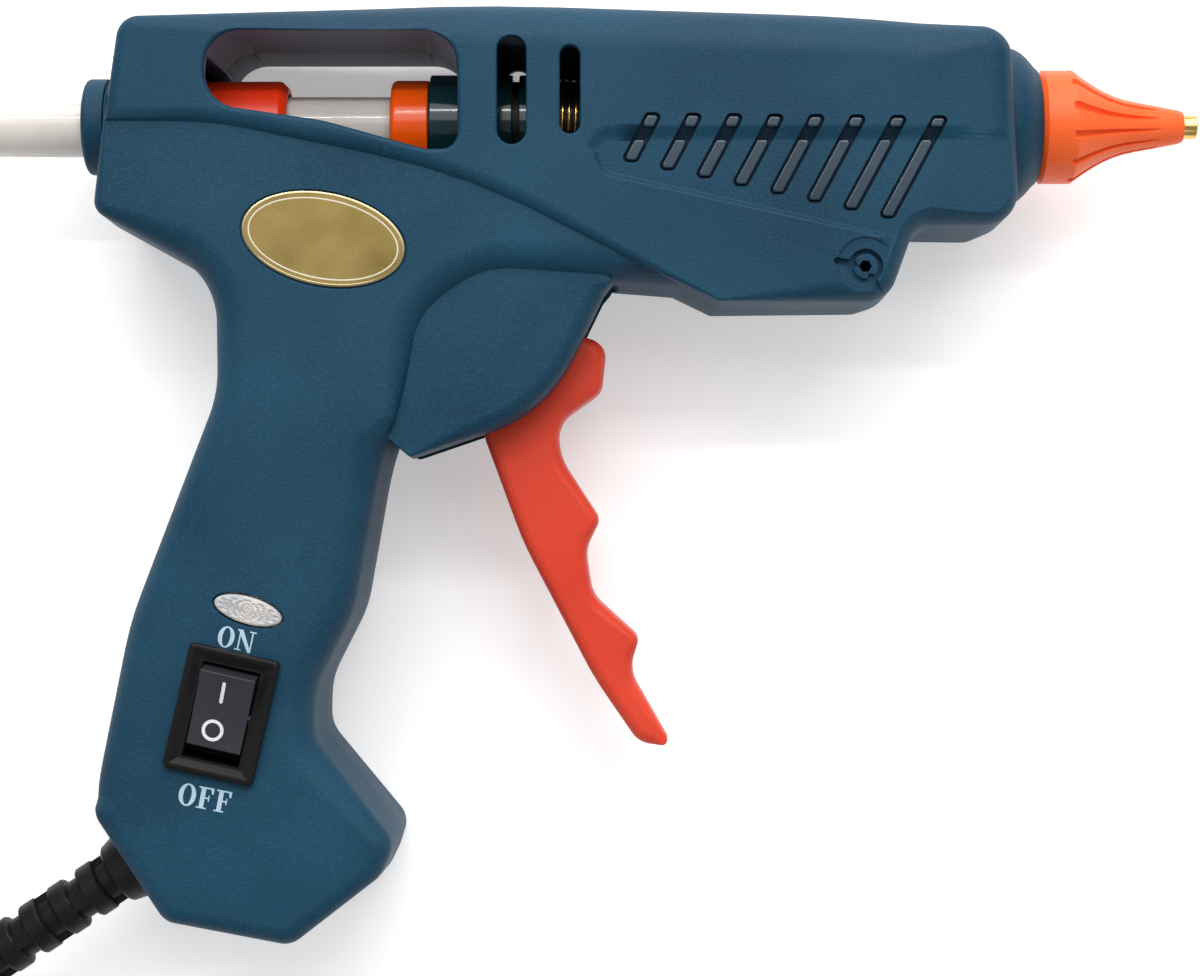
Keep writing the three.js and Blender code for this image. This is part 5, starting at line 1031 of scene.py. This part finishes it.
# Power switch: a black moulded body clipped into the handle, with a bezel on its face, and a rocker with a
# hollow face that turns on two pegs. Its marks, and the words beside it, are printed.
switch_black = finish("switch_black", (0.004, 0.0035, 0.0035), (0.010, 0.009, 0.009), (0.36, 0.48), 0.5, 0.01,
                      Specular_IOR_Level=0.18)
charcoal = finish("rocker_charcoal", (0.022, 0.021, 0.030), (0.040, 0.038, 0.052), (0.24, 0.32), 0.6, 0.006,
                  Specular_IOR_Level=0.5)
bezel_width, bezel_length, bezel_low, bezel_top = 16.4, 22.8, 20.9, 22.4
room_half, room_reach = 5.2, 8.65
case_half, case_reach, terminal_half = 6.8, 9.7, 0.4
rocker_half, rocker_radius, rocker_pivot_z, rocker_turn = 4.9, 8.35, 20.5, math.radians(10)
peg_radius, peg_play, peg_length = 1, 0.3, 1.2


def on_switch(u, v, w):
    return *spun(switch_x, switch_y, u, v, switch_tilt), w


def bezel_ring(inward, z):
    radius = max(0.9 - 0.5 * inward, 0.05)
    return level(tilted_box(0, 0, bezel_length - 2 * inward, bezel_width - 2 * inward, 0, radius), z)


bezel = loft("switch_bezel", [
    bezel_ring(0, bezel_low), bezel_ring(0, bezel_top - 0.45), bezel_ring(0.12, bezel_top - 0.15),
    bezel_ring(0.4, bezel_top), bezel_ring(1.0, bezel_top), bezel_ring(1.2, bezel_top - 0.1),
    bezel_ring(2.2, bezel_top - 0.45), bezel_ring(2.45, bezel_top - 0.5)])
peg_room = peg_radius + peg_play
switch_case = cut(
    joined(bezel, block("switch_case", -case_half, case_half, -case_reach, case_reach, bezel_top - 18,
                        bezel_low + 0.3),
           *[block("terminal", -2.4, 2.4, y - terminal_half, y + terminal_half, bezel_top - 25,
                   bezel_top - 17) for y in (-7, 0, 7)]),
    block("rocker_room", -room_half, room_half, -room_reach, room_reach, rocker_pivot_z - rocker_radius,
          bezel_top + 2),
    block("peg_room", -6.7, 6.7, -peg_room, peg_room, rocker_pivot_z - peg_room, rocker_pivot_z + peg_room))
dress(softened(laid(switch_case, on_switch), 0.08), switch_black)
fit(switch_case, "root", "switch_plastic", "switch_body")
face_reach, face_rise, face_hollow = 7.742, 3.128, 0.9
low_reach = 5.8


def rocker_face(v):
    return face_rise - face_hollow * (1 - (v / face_reach) ** 2)


def on_rocker(u, v, w):
    """A point of the rocker, drawn about its pivot with v towards the mark I and w outwards."""
    return on_switch(u, *spun(0, rocker_pivot_z, v, w, rocker_turn))


rocker_side = [(8, -1.7), (8.1, rocker_face(face_reach) - 0.3), (7.95, rocker_face(face_reach))]
face_steps = [face_reach - (face_reach + low_reach) * k / 24 for k in range(25)]
rocker_side += [(v, rocker_face(v)) for v in face_steps]
rocker_side += [(-low_reach - 0.25, rocker_face(low_reach) - 0.35), (-low_reach - 0.4, -1.8), (-4.2, -5.6),
                (4.2, -5.6)]
rocker = loft("switch_rocker", [[(u, v, w) for v, w in rocker_side] for u in (-rocker_half, rocker_half)])
pegs = loft("rocker_pegs", [[(u, *spun(0, 0, peg_radius, 0, math.tau * k / 24)) for k in range(24)]
                            for u in (-rocker_half - peg_length, rocker_half + peg_length)])
dress(softened(laid(joined(rocker, pegs), on_rocker), 0.22, 3), charcoal)
fit(rocker, "rocker", "switch_plastic", "rocker")

white_ink = finish("white_ink", (0.70, 0.71, 0.73), (0.80, 0.81, 0.82), (0.45, 0.55), 0.2, 0.003)
blue_ink = finish("pale_blue_ink", (0.36, 0.50, 0.60), (0.48, 0.63, 0.73), (0.45, 0.55), 0.2, 0.003)
ink_film, ink_root = 0.03, 0.12
ring_x, ring_y, ring_size, ring_room = -0.75, -2.65, 3.9, 2.74
marks = joined(prism("mark_bar", slot_line(-0.33, 2.8, -0.33, 6.3, 0.62), -1, 1),
               cut(prism("mark_ring", oval(ring_x, ring_y, ring_size, ring_size), -1, 1),
                   prism("mark_room", oval(ring_x, ring_y, ring_room, ring_room), -2, 2)))
laid(marks, lambda u, v, w: on_rocker(u, v, rocker_face(v) + (ink_film if w > 0 else -ink_root)))
fit(dress(softened(marks), white_ink), "rocker", "switch_plastic")


def bars(*strokes):
    """Strokes of a letter: (left, right, foot, head) or a list of corners."""
    return joined(*[block("stroke", *stroke, -1, 1) if isinstance(stroke, tuple)
                    else prism("stroke", [(x, y, 0) for x, y in stroke], -1, 1) for stroke in strokes])


def letter_o():
    return 0.8, cut(prism("letter", oval(0.4, 0.5, 0.8, 1.04, 0, 48), -1, 1),
                    prism("letter_room", oval(0.4, 0.5, 0.38, 0.9, 0, 48), -2, 2))


def letter_n():
    return 0.94, bars(
        (0.13, 0.2, 0, 1), (0.73, 0.8, 0, 1),
        [(0.03, 1), (0.27, 1), (0.8, 0.02), (0.8, -0.03), (0.66, -0.03)],
        (0, 0.32, 0, 0.06), (0, 0.24, 0.94, 1), (0.6, 0.93, 0.94, 1))


def letter_f():
    return 0.74, bars(
        (0.12, 0.33, 0, 1), (0, 0.46, 0, 0.06), (0, 0.7, 0.93, 1),
        [(0.62, 0.72), (0.7, 0.72), (0.7, 1), (0.55, 1)],
        (0.3, 0.52, 0.47, 0.54), (0.49, 0.54, 0.36, 0.66))


def printed(name, letters, x, y, height, tilt):
    """A word printed on the handle's face, centred at (x, y)."""
    gap = 0.08
    made = [letter() for letter in letters]
    start = -sum(width for width, _ in made) / 2 - gap / 2 * (len(made) - 1)
    for width, piece in made:
        def on_face(u, v, w):
            px, py = spun(x, y, (start + u) * height, (v - 0.5) * height, tilt)
            return px, py, handle_top(py) + (ink_film if w > 0 else -ink_root)
        laid(piece, on_face)
        start += width + gap
    word = joined(*[piece for _, piece in made])
    word.name = name
    fit(dress(softened(word), blue_ink), "root", "housing")


printed("word_on", [letter_o, letter_n], 26.4, -94.25, 3.7, math.radians(-12))
printed("word_off", [letter_o, letter_f, letter_f], 20.8, -122.6, 3.9, math.radians(-11))

# Strain relief: black PVC moulded round the cord, with a flange behind the handle's wall, a conical collar
# outside it and six rings that webs join at alternate sides, so that it bends.
relief_length, relief_radius, relief_bore = 45, 3.9, 3.3
collar_low, collar_high, first_ring, ring_length, ring_pitch, ring_radius = 0.3, 6.3, 8.7, 3.9, 6.3, 5.1
web_wide, web_thin = ring_radius - 0.35, 1.5
parts = [turned("relief", [
    (-5.1, 0), (-5.1, 6.2), (-4.9, 6.4), (-2.7, 6.4), (-2.5, 6.2), (-2.5, 4.6), (collar_low, 4.6),
    (collar_low, 7.1), (collar_low + 0.3, 7.4), (collar_low + 1.5, 7.25), (collar_low + 1.8, 6.85),
    (collar_high - 0.5, 5.85), (collar_high, 5.3), (collar_high, relief_radius),
    (relief_length - 0.3, relief_radius), (relief_length, relief_radius - 0.2), (relief_length, 0)])]
for k in range(6):
    low = first_ring + k * ring_pitch
    high = low + ring_length
    wide, tall = (web_thin, web_wide) if k % 2 else (web_wide, web_thin)
    parts += [turned("relief_ring", [
        (low, 0), (low, ring_radius - 0.75), (low + 0.2, ring_radius - 0.3), (low + 0.6, ring_radius),
        (high - 0.6, ring_radius), (high - 0.2, ring_radius - 0.3), (high, ring_radius - 0.75), (high, 0)]),
        block("relief_web", low - 2.7, low + 0.3, -wide, wide, -tall, tall)]
relief = joined(*[laid(part, on_cord) for part in parts])
cut(relief, laid(drum("relief_bore", -60, 90, relief_bore), on_cord))
fit(dress(softened(relief, 0.12), rubber), "root", "cord_rubber", "strain_relief")

# Held cord: the stretch that runs from the clamp inside the handle through the strain relief.
held_cord = laid(turned("held_cord", [
    (-23, 0), (-23, 2.8), (-22.8, 3), (relief_length, 3), (relief_length, 0)], 48), on_cord)
fit(dress(softened(held_cord), rubber), "root", "cord_rubber", "cord_core")
clamp = copy_of("clamp_bridge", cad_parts["cord_clamp"])
fit(dress(softened(clamp, 0.3), dark_plastic), "root", "dark_plastic", "cord_clamp")


# Screws: eight long ones that draw the halves together from the left side, and two that hold the clamp.
# Pan heads with a cross recess, zinc plated.
def screw(name, node_name, x, y, seat, radius, head, length, way):
    """A screw whose head's underside is at seat; way is 1 when it points up and -1 when it points down."""
    rise, long, short = 0.85 * head, 0.62 * head, 0.13 * head
    piece = turned(name, [
        (-rise, 0), (-rise, 0.45 * head), (-0.86 * rise, 0.8 * head), (-0.5 * rise, head), (0, head),
        (0, radius), (length - radius, radius), (length, 0.2 * radius), (length, 0)], 40)
    cut(piece, *[block("recess", -rise - 1, -0.45 * rise, -wide, wide, -tall, tall)
                 for wide, tall in [(long, short), (short, long)]])
    laid(piece, lambda u, v, w: (x + v, y + w * way, seat + u * way))
    fit(dress(softened(piece), zinc), "root", "steel", node_name)


for k, (x, y) in enumerate(screw_places, 1):
    screw(f"case_screw_{k}", f"housing_screw_{k}", x, y, -14.1, 1.4, 2.8, 22, 1)
for k in (1, 2):
    low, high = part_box(f"clamp_screw_{k}")
    middle = (low + high) / 2 / MM - rear_face
    screw(f"bridge_screw_{k}", f"clamp_screw_{k}", middle.x, middle.y, 5.3, 1.2, 2.3, 15.2, -1)

# Tie: a soft PVC band round the coil's turns, as it is wound for the box.
tie_angle, tie_half, tie_thickness, tie_round = math.radians(230), 3, 0.6, 3.2
tie_inner, tie_outer, tie_low, tie_high = 24.29, 44.09, -20.34, -7.24
tie_room = outline([(tie_inner, tie_low, tie_round), (tie_outer, tie_low, tie_round),
                    (tie_outer, tie_high, tie_round), (tie_inner, tie_high, tie_round)])
tie = cut(prism("cord_band", inset(tie_room, -tie_thickness), -tie_half, tie_half),
          prism("band_room", tie_room, -9, 9))
laid(tie, lambda u, v, w: (*spun(coil_centre.x, coil_centre.y, u, w, tie_angle), v))
fit(dress(softened(tie, 0.1), rubber), "root", "cord_rubber", "cord_tie")

# Plug: a two-pin body moulded on the cord, waisted for the fingers, with round nickel-plated pins.
plug_rear, plug_front, plug_z, plug_x, plug_half = -64.2, -28.2, -14.1, -124.4, 6.8
plug_outline = outline([(plug_x + x, y, radius, rounding) for x, y, radius, rounding in [
    (-6.4, plug_rear, 3, 3), (6.4, plug_rear, 3, 3), (9, plug_rear + 9, 20, 3),
    (12.7, plug_rear + 16.2, 13, 3), (12.7, plug_front, 1.2, 0.4), (-12.7, plug_front, 1.2, 0.4),
    (-12.7, plug_rear + 16.2, 13, 3), (-9, plug_rear + 9, 20, 3)]])
plug = two_sided("plug_upper", plug_outline, plug_half)
grips = [prism("grip_groove", slot_line(plug_x - reach, y, plug_x + reach, y, 1.2), 6.1, 9)
         for reach, y in [(5.5 - 0.5 * k, plug_rear + 6 + 3.2 * k) for k in range(4)]]
cut(plug, *[copy_of("groove", groove) for groove in grips], *[mirror(groove) for groove in grips])
laid(plug, lambda u, v, w: (u, v, w + plug_z))
fit(dress(softened(plug, 0.1), rubber), "root", "cord_rubber", "plug_body")
nickel = finish("nickel", (0.62, 0.6, 0.56), (0.75, 0.74, 0.7), (0.12, 0.2), 0.3, 0.003,
                lines=0.15, Metallic=1.0)
for k, side in [(1, -9.3), (2, 9.3)]:
    pin = turned(f"pin_{k}", [(0, 0), (0, 2), (17.4, 2), (18.2, 1.75), (18.75, 1.25), (19, 0.6), (19, 0)], 40)
    laid(pin, lambda u, v, w: (plug_x + side + v, plug_front + 0.1 + u, plug_z + w))
    fit(dress(softened(pin), nickel), "root", "pin_metal", f"plug_pin_{k}")
